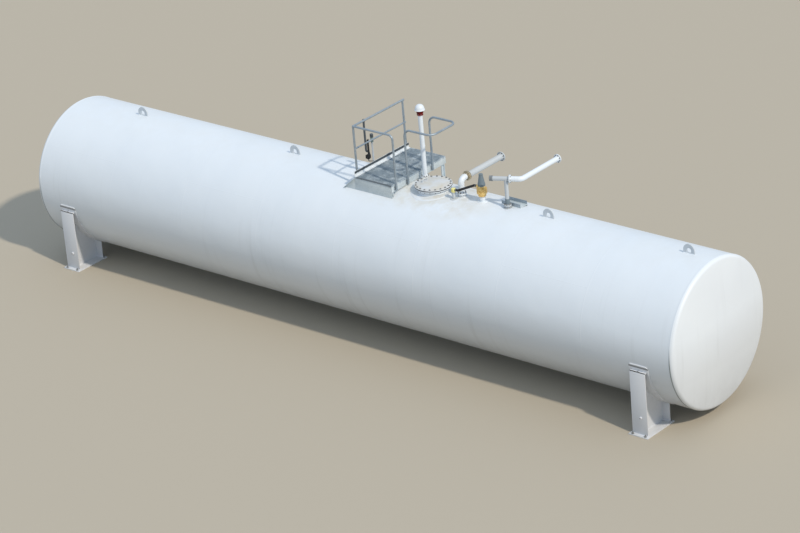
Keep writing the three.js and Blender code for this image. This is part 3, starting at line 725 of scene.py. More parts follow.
# The cover's enamel is a greyer white than the tank's.
cover_enamel = enamel("manway_cover_enamel", "#D8DDE1", "#CCD2D7", dirt_and_shade=1.2)
cover = bmesh.new()
base = NECK_HIGH.z + 0.0005
top = base + COVER_THICK
put(cover, turned([(0, base), (RIM - 0.002, base), (RIM, base + 0.002), (RIM, top - 0.003),
                   (RIM - 0.003, top), (0.275, top), (0.272, top + 0.001), (0, top + 0.001)], 80),
    at(MANWAY_X, 0, 0))
handle_x = COVER_LOW.x + RIM - 0.2
corners = ((-1, -0.004), (-1, 0.06), (1, 0.06), (1, -0.004))
grip = [(handle_x, side * GRIP_HALF, top + rise) for side, rise in corners]
put(cover, tube(bent(grip, 0.03), GRIP_R, 16))
put(cover, weld_ring(GRIP_R, 0.005, 16), *[at(handle_x, side * GRIP_HALF, top + 0.001) for side in (-1, 1)])
finished("manway_bolted_cover", cover, cover_enamel, "white_paint", "manway_cover")

manway_bolts = bmesh.new()
spots = circle_of(COVER_BOLTS, RIM - 0.030, 0)
put(manway_bolts, bolt(COVER_BOLT), *[at(MANWAY_X, 0, top) @ spot for spot in spots])
upside = Matrix.Rotation(math.pi, 4, "X")
put(manway_bolts, bolt(COVER_BOLT, 0.014), *[at(MANWAY_X, 0, NECK_HIGH.z - RING_THICK) @ spot @ upside
                                             for spot in spots])
finished("manway_bolts", manway_bolts, zinc, "galvanised")


# Vent mast: a small steel pipe on a flanged nozzle beside the manway, painted with the tank.
# It carries a red flame trap and a spun white weather cap that keeps the rain out.
MAST_LOW, MAST_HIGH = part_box("vent_mast")
MAST_X = (MAST_LOW.x + MAST_HIGH.x) / 2
MAST_Y = (MAST_LOW.y + MAST_HIGH.y) / 2
MAST_FLANGE = (MAST_HIGH.x - MAST_LOW.x) / 2
MAST_PIPE = 0.045
MAST_STUB = 0.057
FLANGE_BOLT = 0.014
UPPER_PAD = PAD_THICK + 0.0015    # a pad that lies partly over its neighbour's
TRAP_RIBS = 5
CAP_SKIRT = 0.030
CAP_STEPS = 12


# A pipe flange about Z: a hub that runs out to the pipe, and a
# rim with eased edges; the joint face is at z = 0.
def flange(bore, rim, thickness, hub=0.02):
    return turned([(0, 0), (rim - 0.001, 0), (rim, -0.001), (rim, -thickness + 0.002),
                   (rim - 0.002, -thickness), (bore + 0.012, -thickness), (bore + 0.001, -thickness - hub),
                   (0, -thickness - hub)], 40)


# A pair of flanges face to face with a thin gasket gap, and the bolts through both.
def flange_pair(metal, bolts, bore, rim, thickness, place, count=8, hub=0.02):
    put(metal, flange(bore, rim, thickness, hub), place @ at(0, 0, -0.001),
        place @ upside @ at(0, 0, -0.001))
    spots = circle_of(count, rim - FLANGE_BOLT * 1.35, thickness + 0.001)
    ends = [place @ spot for spot in spots] + [place @ upside @ spot for spot in spots]
    put(bolts, bolt(FLANGE_BOLT, 0.008), *ends)


mast = bmesh.new()
flange_bolts = bmesh.new()
joint_z = CROWN_Z + 0.06
put(mast, rod(MAST_STUB, CROWN_Z - 0.05, joint_z - 0.03), at(MAST_X, MAST_Y, 0))
flange_pair(mast, flange_bolts, MAST_PIPE + 0.006, MAST_FLANGE, 0.019, at(MAST_X, MAST_Y, joint_z))
put(mast, rod(MAST_PIPE, joint_z, MAST_HIGH.z), at(MAST_X, MAST_Y, 0))
put(mast, weld_ring(MAST_PIPE, 0.006), at(MAST_X, MAST_Y, joint_z + 0.044),
    at(MAST_X, MAST_Y, CROWN_Z + 0.70))
put(mast, shell_pad(MAST_STUB, 0.12, UPPER_PAD, MAST_X, MAST_Y, 40))
finished("vent_mast_pipe", mast, white_enamel, "white_paint", "vent_mast")

# Red baked enamel on the cast housing: deep, with a soft gloss, and sun-dulled in patches.
red_enamel = clouded("red_cast_enamel", "#6A0D0C", "#8E211D", 22.0, 5.0, (0.28, 0.5))[0]
TRAP_LOW, TRAP_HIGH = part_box("vent_fitting")
trap_radius = (TRAP_HIGH.x - TRAP_LOW.x) / 2
trap = bmesh.new()
rib = (TRAP_HIGH.z - TRAP_LOW.z - 0.04) / TRAP_RIBS
profile = [(0, 0), (0.060, 0), (0.062, 0.002), (0.062, 0.016), (0.050, 0.020), (0.050, 0.036)]
groove = trap_radius - 0.009
for k in range(TRAP_RIBS):
    z = 0.038 + rib * k
    profile += [(groove, z), (trap_radius, z + rib * 0.25), (trap_radius, z + rib * 0.65),
                (groove, z + rib * 0.9)]
profile += [(0.05, TRAP_HIGH.z - TRAP_LOW.z), (0, TRAP_HIGH.z - TRAP_LOW.z)]
put(trap, turned(profile, 40), at(MAST_X, MAST_Y, TRAP_LOW.z))
finished("red_flame_trap", trap, red_enamel, "red_paint", "vent_fitting")
put(flange_bolts, bolt(0.010), *[at(MAST_X, MAST_Y, TRAP_LOW.z + 0.016) @ spot
                                 for spot in circle_of(6, 0.054, 0)])

CAP_LOW, CAP_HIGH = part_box("vent_cap")
cap_radius = (CAP_HIGH.x - CAP_LOW.x) / 2
cap_rise = CAP_HIGH.z - CAP_LOW.z
cap = bmesh.new()
profile = [(0, CAP_SKIRT), (0.088, CAP_SKIRT), (0.094, 0.004), (0.098, 0.0), (0.103, 0.003),
           (cap_radius, CAP_SKIRT)]
for k in range(1, CAP_STEPS + 1):
    a = math.pi / 2 * k / CAP_STEPS
    profile.append((cap_radius * math.cos(a), CAP_SKIRT + (cap_rise - CAP_SKIRT) * math.sin(a)))
put(cap, turned(profile, 48), at(MAST_X, MAST_Y, CAP_LOW.z))
put(cap, rod(0.052, 0, 0.032, 32), at(MAST_X, MAST_Y, CAP_LOW.z))
finished("spun_weather_cap", cap, white_enamel, "white_paint", "vent_cap")


# Transfer branch: a flanged nozzle and elbow in white, a cast coupling with two cam levers, and a grey
# pipe that ends at a flange, where the next length would be bolted on.
PIPE_LOW, PIPE_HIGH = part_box("transfer_pipe")
COUPLING_LOW, COUPLING_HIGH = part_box("transfer_coupling")
TRANSFER_X = (PIPE_LOW.x + PIPE_HIGH.x) / 2
TRANSFER_Z = (PIPE_LOW.z + PIPE_HIGH.z) / 2
TRANSFER_PIPE = 0.058
TRANSFER_STUB = 0.062
ELBOW = 0.10
TRANSFER_FLANGE = (PIPE_HIGH.x - PIPE_LOW.x) / 2
riser = bmesh.new()
joint_z = CROWN_Z + 0.066
put(riser, rod(TRANSFER_STUB, CROWN_Z - 0.02, joint_z), at(TRANSFER_X, 0, 0))
put(riser, shell_pad(TRANSFER_STUB, 0.105, PAD_THICK, TRANSFER_X, 0, 40))
flange_pair(riser, flange_bolts, TRANSFER_STUB, 0.092, 0.017, at(TRANSFER_X, 0, joint_z), hub=0.012)
bend = [(TRANSFER_X, 0, joint_z), (TRANSFER_X, 0, TRANSFER_Z), (TRANSFER_X, COUPLING_LOW.y, TRANSFER_Z)]
put(riser, tube(bent(bend, ELBOW, 12), TRANSFER_PIPE, 32))
put(riser, weld_ring(TRANSFER_PIPE, 0.006), at(TRANSFER_X, 0, TRANSFER_Z - ELBOW),
    at(TRANSFER_X, ELBOW, TRANSFER_Z, TO_Y))
finished("transfer_riser_elbow", riser, white_enamel, "white_paint", "transfer_riser")

CAST_GRAIN = 0.0025


# Bare cast copper alloys: yellow brass, and a browner bronze that has tarnished more. Both are warm where
# hands polish them, dull brown between, and carry a fine cast grain.
def cast_alloy(name, polished, tarnished):
    made, tree, shader = new_material(name, Metallic=0.85)
    place = add_node(tree, "TexCoord")["Object"]
    blotch = add_node(tree, "TexNoise", {"Vector": place, "Scale": 26.0, "Detail": 6.0,
                                         "Roughness": 0.6})[0]
    tarnish = add_node(tree, "MapRange", {0: blotch, 1: 0.4, 2: 0.68})[0]
    tones = {0: tarnish, 6: colour(polished), 7: colour(tarnished)}
    tree.links.new(add_node(tree, "Mix", tones, data_type="RGBA")[2], shader.inputs["Base Color"])
    tree.links.new(add_node(tree, "MapRange", {0: tarnish, 3: 0.34, 4: 0.6})[0], shader.inputs["Roughness"])
    grain = add_node(tree, "TexNoise", {"Vector": place, "Scale": 1 / CAST_GRAIN, "Detail": 2.0})[0]
    cast = add_node(tree, "Bump", {"Strength": 0.4, "Distance": 0.0006, "Height": grain})[0]
    tree.links.new(cast, shader.inputs["Normal"])
    return made


brass = cast_alloy("bare_cast_brass", "#FFDC92", "#CE9F52")
bronze = cast_alloy("tarnished_cast_bronze", "#DCCDAE", "#463B29")

coupling = bmesh.new()
length = COUPLING_HIGH.y - COUPLING_LOW.y
rim = (COUPLING_HIGH.x - COUPLING_LOW.x) / 2
profile = [(0, 0), (0.070, 0), (0.074, 0.003), (0.074, 0.013), (0.066, 0.017), (0.066, 0.026),
           (0.080, 0.030), (rim - 0.004, 0.033), (rim, 0.038), (rim, length - 0.007), (rim - 0.006, length),
           (0, length)]
put(coupling, turned(profile, 40), at(TRANSFER_X, COUPLING_LOW.y, TRANSFER_Z, TO_Y))
for side in (-1, 1):
    lever = [(0.0, -0.010), (0.016, -0.011), (0.050, -0.005), (0.054, 0.0), (0.050, 0.005), (0.016, 0.011),
             (0.0, 0.010)]
    turn = Matrix.Rotation(side * math.pi / 2, 4, "Y") @ Matrix.Rotation(-math.pi / 2, 4, "Z")
    put(coupling, plate(lever, 0.008), at(TRANSFER_X + side * 0.074, COUPLING_LOW.y + 0.054, TRANSFER_Z,
                                          turn))
faced_out(coupling)
finished("cam_lever_coupling", coupling, bronze, "brass", "transfer_coupling")

# The open ends of the two pipes that lead away: how deep the bore runs, and the flange round it.
BORE_DEEP = 0.24
PIPE_WALL = 0.005
RAISED_FACE = 0.002
END_FLANGE = 0.022
END_BOLTS = 8


# The last stretch of a pipe that ends at z = 0, where its next length
# bolts on: open bore, raised joint face, flange and weld collar.
def open_pipe(radius, rim, long):
    face = rim - 0.030
    return turned([(0, -BORE_DEEP), (radius - PIPE_WALL, -BORE_DEEP), (radius - PIPE_WALL, 0), (face, 0),
                   (face, -RAISED_FACE), (rim - 0.001, -RAISED_FACE), (rim, -RAISED_FACE - 0.001),
                   (rim, -END_FLANGE + 0.002), (rim - 0.002, -END_FLANGE), (radius + 0.012, -END_FLANGE),
                   (radius, -END_FLANGE - 0.02), (radius, -long), (0, -long)], 40)


# Its bolts: heads behind the flange, and ends that come flush with the joint face.
def end_bolts(rim, place):
    ring = rim - 0.019
    heads = circle_of(END_BOLTS, ring, END_FLANGE)
    put(flange_bolts, bolt(FLANGE_BOLT), *[place @ upside @ spot for spot in heads])
    shank = [(0, 0), (FLANGE_BOLT * 0.42, 0), (FLANGE_BOLT * 0.5, -0.0008), (FLANGE_BOLT * 0.5, -0.004),
             (0, -0.004)]
    put(flange_bolts, turned(shank, 16), *[place @ spot for spot in circle_of(END_BOLTS, ring, -0.0002)])


# Light grey pipe enamel, brushed on: a little duller than the tank's, with dust on top and faint brush drag.
grey_enamel = enamel("light_grey_pipe_enamel", "#C3C9CD", "#B2B9BE", across=(3.0, 3.0, 0.4), rough=0.45,
                     dirt_and_shade=0.7)
pipe = bmesh.new()
end_y = PIPE_HIGH.y
pipe_end = at(TRANSFER_X, end_y, TRANSFER_Z, TO_Y)
put(pipe, open_pipe(TRANSFER_PIPE, TRANSFER_FLANGE, end_y - PIPE_LOW.y), pipe_end)
put(pipe, weld_ring(TRANSFER_PIPE, 0.006), at(TRANSFER_X, end_y - 0.045, TRANSFER_Z, TO_Y))
finished("transfer_pipe_length", pipe, grey_enamel, "pipe_steel", "transfer_pipe")
end_bolts(TRANSFER_FLANGE, pipe_end)


# Sampling point and draw valve: a grey stub with a yellow plastic cap, a bare brass valve with a black
# suction hose to it, and a tapered grey-blue strainer on top. Worm-drive bands grip the hose at both ends.
STUB_LOW, STUB_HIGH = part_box("sample_nozzle")
STUB_X, STUB_Y = (STUB_LOW.x + STUB_HIGH.x) / 2, (STUB_LOW.y + STUB_HIGH.y) / 2
GRIP_RIBS = 20
stub_radius = (STUB_HIGH.x - STUB_LOW.x) / 2
stub = bmesh.new()
pipe_radius = stub_radius - 0.004
put(stub, turned([(0, CROWN_Z - 0.03), (pipe_radius, CROWN_Z - 0.03), (pipe_radius, CROWN_Z + 0.055),
                  (stub_radius, CROWN_Z + 0.058), (stub_radius, CROWN_Z + 0.098),
                  (pipe_radius, CROWN_Z + 0.101), (pipe_radius, STUB_HIGH.z), (0, STUB_HIGH.z)], 32),
    at(STUB_X, STUB_Y, 0))
put(stub, shell_pad(stub_radius, 0.075, UPPER_PAD, STUB_X, STUB_Y, 32))
finished("sample_stub", stub, grey_enamel, "pipe_steel", "sample_nozzle")

# Yellow polyethylene, moulded: a clean colour with a waxy sheen, bleached in patches by the sun.
yellow = clouded("yellow_polyethylene", "#E6DC78", "#F1ECB2", 30.0, 3.0, Roughness=0.42)[0]
YCAP_LOW, YCAP_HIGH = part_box("sample_cap")
ycap_radius = (YCAP_HIGH.x - YCAP_LOW.x) / 2
ycap_rise = YCAP_HIGH.z - YCAP_LOW.z
yellow_cap = bmesh.new()
skirt = ycap_radius - 0.003
put(yellow_cap, turned([(0, 0), (skirt, 0), (skirt, ycap_rise - 0.006), (ycap_radius - 0.009, ycap_rise),
                        (0, ycap_rise)], 40), at(STUB_X, STUB_Y, YCAP_LOW.z))
put(yellow_cap, block((-0.004, -0.003, 0.003), (0.004, 0.003, ycap_rise - 0.008), 0.001),
    *[at(STUB_X, STUB_Y, YCAP_LOW.z) @ spot for spot in circle_of(GRIP_RIBS, skirt, 0)])
finished("yellow_plastic_cap", yellow_cap, yellow, "yellow_plastic", "sample_cap")

VALVE_LOW, VALVE_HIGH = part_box("valve_body")
valve_radius = (VALVE_HIGH.y - VALVE_LOW.y) / 2
VALVE_X = VALVE_HIGH.x - valve_radius
SPIGOT_Z = CROWN_Z + 0.29
BELLY = 0.034
BELLY_STEPS = 8
neck = bmesh.new()
put(neck, turned([(0, CROWN_Z - 0.02), (0.050, CROWN_Z - 0.02), (0.050, CROWN_Z + 0.050),
                  (0.060, CROWN_Z + 0.053), (0.060, CROWN_Z + 0.084), (0.050, CROWN_Z + 0.087),
                  (0.050, CROWN_Z + 0.112), (0, CROWN_Z + 0.112)], 36), at(VALVE_X, 0, 0))
put(neck, shell_pad(0.050, 0.095, PAD_THICK, VALVE_X, 0, 36))
finished("valve_nozzle", neck, white_enamel, "white_paint")
valve = bmesh.new()
base = CROWN_Z + 0.112
rise = VALVE_HIGH.z - base
profile = [(0, base), (0.066, base), (0.074, base + 0.004), (0.076, base + 0.016)]
for k in range(BELLY_STEPS + 1):
    a = math.radians(-55 + 110 * k / BELLY_STEPS)
    profile.append((valve_radius - BELLY + BELLY * math.cos(a),
                    base + rise * 0.53 + rise * 0.38 * math.sin(a)))
profile += [(0.064, base + rise * 0.93), (0.060, VALVE_HIGH.z - 0.004), (0.058, VALVE_HIGH.z),
            (0, VALVE_HIGH.z)]
put(valve, turned(profile, 48), at(VALVE_X, 0, 0))
put(valve, turned([(0, 0), (0.026, 0), (0.026, 0.018), (0.023, 0.020), (0.023, 0.080), (0, 0.080)], 32),
    at(VALVE_LOW.x, 0, SPIGOT_Z, TO_X))
lug = block((-0.014, -0.014, 0), (0.010, 0.014, rise * 0.60), 0.005)
put(valve, lug, *[at(VALVE_X, 0, base + rise * 0.22) @ spot
                  for spot in circle_of(4, valve_radius - 0.012, 0)])
finished("brass_draw_valve", valve, brass, "brass", "valve_body")

# Suction hose: a bend of black rubber from the valve's spigot down to the sampling cap.
HOSE_START, HOSE_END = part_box("valve_hose")
HOSE_RADIUS = 0.024
LOW_Z = HOSE_START.z + HOSE_RADIUS
HIGH_Z = HOSE_END.z - HOSE_RADIUS
route = [(HOSE_END.x, 0, HIGH_Z), (HOSE_END.x - 0.055, 0, HIGH_Z), (STUB_X + 0.11, STUB_Y, LOW_Z),
         (HOSE_START.x, STUB_Y, LOW_Z)]
hose = bmesh.new()
put(hose, tube(bent(route, 0.04, 8), HOSE_RADIUS, 24))
finished("suction_hose", hose, rubber, "black_rubber", "valve_hose")
bands = bmesh.new()
band = [(HOSE_RADIUS - 0.002, -0.007), (HOSE_RADIUS + 0.0015, -0.007), (HOSE_RADIUS + 0.0015, 0.007),
        (HOSE_RADIUS - 0.002, 0.007), (HOSE_RADIUS - 0.002, -0.007)]
put(bands, turned(band, 24), at(HOSE_END.x - 0.025, 0, HIGH_Z, TO_X),
    at(HOSE_START.x + 0.025, STUB_Y, LOW_Z, TO_X))
finished("hose_bands", bands, zinc, "galvanised")

# Strainer: a round foot on the valve and a tapered housing over it that is closed with a plug, all in a
# satin, faintly dusty grey-blue enamel.
strainer_enamel = enamel("grey_blue_enamel", "#66747C", "#86949C", across=(4.0, 4.0, 0.5), rough=0.48,
                         dirt_and_shade=0.5)
CONE_LOW, CONE_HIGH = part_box("strainer_cone")
cone_radius = (CONE_HIGH.x - CONE_LOW.x) / 2
cone_rise = CONE_HIGH.z - CONE_LOW.z
cone = bmesh.new()
put(cone, turned([(0, 0), (cone_radius - 0.003, 0), (cone_radius, 0.003), (cone_radius, 0.049),
                  (cone_radius - 0.003, 0.052), (cone_radius - 0.006, 0.058), (0.038, cone_rise - 0.030),
                  (0.042, cone_rise - 0.027), (0.042, cone_rise - 0.014), (0.024, cone_rise - 0.012),
                  (0.022, cone_rise), (0, cone_rise)], 48), at(VALVE_X, 0, CONE_LOW.z))
finished("tapered_strainer", cone, strainer_enamel, "dark_grey", "strainer_cone")


# Header branch: a flanged grey riser with a tee, a rubber sleeve on the tee's
# blind arm, and the white header pipe. The pipe leaves the tee at a bolted
# joint, swings round in one easy bend and ends at a flange across the tank.
HP_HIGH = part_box("header_pipe")[1]
HEADER_TURN = math.radians(25)
HEADER_R = 0.050
HEADER_RIM = 0.084
HEADER_STUB = 0.048
HEADER_BEND_OUT = 0.3
HEADER_END = 0.25
TEE_OUT = 0.075
TEE_RIM = 0.078
TEE_THICK = 0.016
ARM_OUT = -0.25
ARM_R = 0.042
SLEEVE_R = 0.054
SLEEVE_LONG = 0.0647
RISER_R = 0.038
RISER_RIM = 0.074
HEADER_Z = HP_HIGH.z - HEADER_RIM
RISER_X = HP_HIGH.x - HEADER_RIM - HEADER_BEND_OUT * math.cos(HEADER_TURN)


# The placing matrix of a turned shape at a distance out from the riser along the tee.
def on_arm(out, turn=Matrix()):
    return at(RISER_X, 0, HEADER_Z) @ Matrix.Rotation(HEADER_TURN, 4, "Z") @ at(out, 0, 0, TO_X @ turn)


header_riser = bmesh.new()
joint_z = CROWN_Z + 0.056
put(header_riser, rod(HEADER_STUB, CROWN_Z - 0.03, joint_z), at(RISER_X, 0, 0))
put(header_riser, shell_pad(HEADER_STUB, 0.084, PAD_THICK, RISER_X, 0, 40))
flange_pair(header_riser, flange_bolts, RISER_R + 0.004, RISER_RIM, 0.015, at(RISER_X, 0, joint_z),
            hub=0.010)
put(header_riser, tube([(RISER_X, 0, joint_z), (RISER_X, 0, HEADER_Z)], RISER_R, 28))
arm_start, arm_end = (on_arm(out).translation for out in (ARM_OUT, TEE_OUT - 0.01))
put(header_riser, tube([arm_start, arm_end], ARM_R, 28))
put(header_riser, weld_ring(RISER_R, 0.005, 28), at(RISER_X, 0, joint_z + 0.03),
    at(RISER_X, 0, HEADER_Z - 0.075))
put(header_riser, weld_ring(ARM_R, 0.005, 28), on_arm(-0.075))
put(header_riser, flange(ARM_R, TEE_RIM, TEE_THICK, 0.012), on_arm(TEE_OUT))
finished("header_riser_tee", header_riser, grey_enamel, "pipe_steel", "header_riser")
sleeve = bmesh.new()
put(sleeve, turned([(0, 0), (SLEEVE_R - 0.008, 0), (SLEEVE_R, 0.006), (SLEEVE_R, 0.016),
                    (SLEEVE_R - 0.005, 0.020), (SLEEVE_R - 0.005, 0.036), (SLEEVE_R, 0.040),
                    (SLEEVE_R, SLEEVE_LONG - 0.004), (SLEEVE_R - 0.004, SLEEVE_LONG), (0, SLEEVE_LONG)],
                   40), on_arm(ARM_OUT - 0.065))
finished("rubber_end_sleeve", sleeve, chalked_rubber, "black_rubber", "riser_end")

header = bmesh.new()
start = TEE_OUT + 0.0003
put(header, flange(HEADER_R, TEE_RIM, TEE_THICK, 0.012), on_arm(start, upside))
turn_in = on_arm(HEADER_BEND_OUT).translation
line = [on_arm(start + 0.012).translation, turn_in, (turn_in.x, HP_HIGH.y - HEADER_END, HEADER_Z)]
put(header, tube(bent(line, 0.11, 10), HEADER_R, 28))
header_end = at(turn_in.x, HP_HIGH.y, HEADER_Z, TO_Y)
put(header, open_pipe(HEADER_R, HEADER_RIM, HEADER_END), header_end)
put(header, weld_ring(HEADER_R, 0.006), on_arm(0.19), at(turn_in.x, 0.235, HEADER_Z, TO_Y),
    at(turn_in.x, HP_HIGH.y - 0.044, HEADER_Z, TO_Y))
finished("header_pipe_run", header, white_enamel, "white_paint", "header_pipe")
end_bolts(HEADER_RIM, header_end)
ring = circle_of(6, TEE_RIM - 0.017, TEE_THICK + 0.001)
sides = (on_arm(TEE_OUT, upside), on_arm(start))
put(flange_bolts, bolt(0.012), *[side @ spot for side in sides for spot in ring])
finished("flange_bolts", flange_bolts, zinc, "galvanised")

# Riser foot: a grey-blue wrap over the riser's foot from its joint up, in the strainer's enamel.
FOOT_R = 0.045
riser_foot = bmesh.new()
put(riser_foot, turned([(0, 0), (FOOT_R - 0.002, 0), (FOOT_R, 0.002), (FOOT_R, 0.10),
                        (FOOT_R - 0.003, 0.103), (0, 0.103)], 32), at(RISER_X, 0, joint_z + 0.028))
finished("riser_foot_wrap", riser_foot, strainer_enamel, "dark_grey")


# Platform frame: two rolled channels, end plates and a cross plate, on four cruciform feet that stand on
# the shell. Hot dip galvanised after welding, like all the platform steel.
GRATE_LOW, GRATE_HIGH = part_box("platform_grating")
FRAME_LOW = Vector((GRATE_LOW.x, GRATE_LOW.y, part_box("platform_frame")[0].z))
FRAME_HIGH = Vector((GRATE_HIGH.x, GRATE_HIGH.y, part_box("platform_frame")[1].z))
WEB = 0.007
CHANNEL_FLANGE = 0.06
CHANNEL_LIP = 0.008
CHANNEL_DEEP = 0.118
END_PLATE = 0.008
SPANGLE = 0.014
FOOT_IN = 0.046
FOOT_HALF = 0.045
FOOT_PLATE = 0.012


# Hot dip galvanised steel, weathered: a blue-grey metal, its crystals a patchwork of slightly lighter and
# darker flakes, dulled by pale zinc bloom. The crystals are drawn at 14 mm, near the large end of the
# real ones. The floor and frame are paler and duller than the upright rails, part zinc bloom where they lie
# flat in the rain and part painted light; the toe board is made brightest, as painted light for the sun on
# its face, and the nosing darker, as painted shade.
def galvanised_steel(name, dark, light, bloomed_to, metallic, bloom_most):
    made, tree, shader = new_material(name, Metallic=metallic)
    place = add_node(tree, "TexCoord")["Object"]
    flakes = add_node(tree, "TexVoronoi", {"Vector": place, "Scale": 1 / SPANGLE})
    shade = add_node(tree, "SeparateXYZ", {0: flakes["Color"]})[0]
    bloom = add_node(tree, "TexNoise", {"Vector": place, "Scale": 7.0, "Detail": 6.0, "Roughness": 0.6})[0]
    crystals = {0: shade, 6: colour(dark), 7: colour(light)}
    spangled = add_node(tree, "Mix", crystals, data_type="RGBA")[2]
    pale = add_node(tree, "MapRange", {0: bloom, 1: 0.45, 2: 0.75, 4: bloom_most})[0]
    weathered = add_node(tree, "Mix", {0: pale, 6: spangled, 7: colour(bloomed_to)}, data_type="RGBA")[2]
    tree.links.new(weathered, shader.inputs["Base Color"])
    glint = add_node(tree, "MapRange", {0: shade, 3: 0.38, 4: 0.52})[0]
    dulled = add_node(tree, "Math", {0: pale, 1: 0.3, 2: glint}, operation="MULTIPLY_ADD")[0]
    tree.links.new(dulled, shader.inputs["Roughness"])
    return made


galvanised = galvanised_steel("hot_dip_galvanised_steel", "#93A0AA", "#A8B4BD", "#B4BEC5", 0.6, 0.6)
# Paler copies for the frame and floor, part zinc bloom and part painted light; a darker copy for the nosing,
# painted shade; a brighter one for the toe board, painted light.
pale_galvanised = galvanised_steel("bloomed_and_lightened_galvanised_steel", "#BECACF", "#CED8DC", "#D9E0E2", 0.2, 0.9)
floor_galvanised = galvanised_steel("trodden_and_lightened_galvanised_steel", "#93A2AD", "#B4C2CB", "#E6EDF0", 0.2, 1.0)
shade_darkened_galvanised = galvanised_steel("shade_darkened_galvanised_steel", "#6F787F", "#7D868D", "#8B9399", 0.5, 0.6)
sun_brightened_galvanised = galvanised_steel("sun_brightened_galvanised_steel", "#DDE4E8", "#E9EEF1", "#F1F4F6", 0.2, 0.9)

# Crown channel: a short galvanised channel that lies upturned
# on the crown behind the header riser, welded down. Its upright sides are in the darker
# galvanised, as painted shade, and its floor in the paler.
PAD_LOW, PAD_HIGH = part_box("channel_pad")
CHANNEL_PLATE = 0.010
channel = bmesh.new()
inside = CHANNEL_PLATE / 2
put(channel, block((PAD_LOW.x + 0.001, PAD_LOW.y + inside, CROWN_Z - 0.004),
                   (PAD_HIGH.x - 0.001, PAD_HIGH.y - inside, CROWN_Z + 0.010), 0.002))
channel_sides = bmesh.new()
for y0 in (PAD_LOW.y, PAD_HIGH.y - CHANNEL_PLATE):
    foot = shell_z(y0 + CHANNEL_PLATE) - 0.002
    put(channel_sides, block((PAD_LOW.x, y0, foot), (PAD_HIGH.x, y0 + CHANNEL_PLATE, PAD_HIGH.z), 0.003))
finished("channel_sides", channel_sides, galvanised, "galvanised")
for y, way in ((PAD_LOW.y, -1), (PAD_HIGH.y, 1)):
    put(channel, fillet((PAD_LOW.x, y, shell_z(y)), (PAD_HIGH.x, y, shell_z(y)), UP, (0, way, 0)))
faced_out(channel)
finished("crown_channel", channel, pale_galvanised, "galvanised", "channel_pad")

frame_piece = bmesh.new()
lip_top = CHANNEL_DEEP - CHANNEL_LIP
outline = [(0, 0), (CHANNEL_FLANGE, 0), (CHANNEL_FLANGE, CHANNEL_LIP), (WEB, CHANNEL_LIP), (WEB, lip_top),
           (CHANNEL_FLANGE, lip_top), (CHANNEL_FLANGE, CHANNEL_DEEP), (0, CHANNEL_DEEP)]
frame_z = FRAME_HIGH.z - CHANNEL_DEEP
length = FRAME_HIGH.y - FRAME_LOW.y
put(frame_piece, plate(outline, length), at(FRAME_LOW.x, FRAME_LOW.y, frame_z, ALONG_X),
    at(FRAME_HIGH.x, FRAME_LOW.y, frame_z, Matrix.Diagonal((-1, 1, 1, 1)) @ ALONG_X))


# A plate across the frame at y, from the frame's top down to a
# level line, or to the shell where that is higher.
def cross_plate(y, thickness, bottom):
    on_shell = shell_z(min(abs(y), abs(y + thickness))) + 0.001
    return block((FRAME_LOW.x + 0.001, y, max(bottom, on_shell)),
                 (FRAME_HIGH.x - 0.001, y + thickness, FRAME_HIGH.z - 0.001), 0.001)


put(frame_piece, cross_plate(FRAME_LOW.y, END_PLATE, 0))
put(frame_piece, cross_plate(FRAME_HIGH.y - END_PLATE, END_PLATE, frame_z))
put(frame_piece, cross_plate(0.25, END_PLATE, frame_z))
half, foot_top = FOOT_PLATE / 2, frame_z + 0.009
for x in (FRAME_LOW.x + FOOT_IN, FRAME_HIGH.x - FOOT_IN):
    for y in (FRAME_LOW.y + FOOT_IN, FRAME_HIGH.y - FOOT_IN):
        foot_z = shell_z(abs(y) - half)
        put(frame_piece, block((x - FOOT_HALF, y - half, foot_z), (x + FOOT_HALF, y + half, foot_top)))
        deep = [(-FOOT_HALF, foot_top), (FOOT_HALF, foot_top)]
        deep += [(s, shell_z(y + s)) for s in (FOOT_HALF, 0.0, -FOOT_HALF)]
        put(frame_piece, plate(deep, FOOT_PLATE, edge=0.001), at(x - half, y, 0, ACROSS_X))

# Side bracket: a gusset under a sloped plate, beside the frame's front left corner.
BRACKET_REACH = 0.27
BRACKET_DROP = 0.235
edge_x, edge_z = FRAME_LOW.x, FRAME_HIGH.z
gusset = [(edge_x + 0.002, edge_z - 0.010), (edge_x - BRACKET_REACH, edge_z - BRACKET_DROP - 0.010)]
gusset += [(edge_x - BRACKET_REACH + 0.02, shell_z(FRAME_LOW.y) + 0.001),
           (edge_x + 0.002, shell_z(FRAME_LOW.y) + 0.001)]
put(frame_piece, plate(gusset, 0.008, edge=0.001), at(0, FRAME_LOW.y + 0.008, 0, ALONG_X_BACK))
splay = math.atan2(BRACKET_DROP, BRACKET_REACH)
sloped = block((-math.hypot(BRACKET_DROP, BRACKET_REACH), FRAME_LOW.y - 0.048, -0.009),
               (0, FRAME_LOW.y + 0.048, -0.001), 0.0015)
put(frame_piece, sloped, at(edge_x, 0, edge_z) @ Matrix.Rotation(-splay, 4, "Y"))
faced_out(frame_piece)
finished("platform_channels", frame_piece, pale_galvanised, "galvanised", "platform_frame")

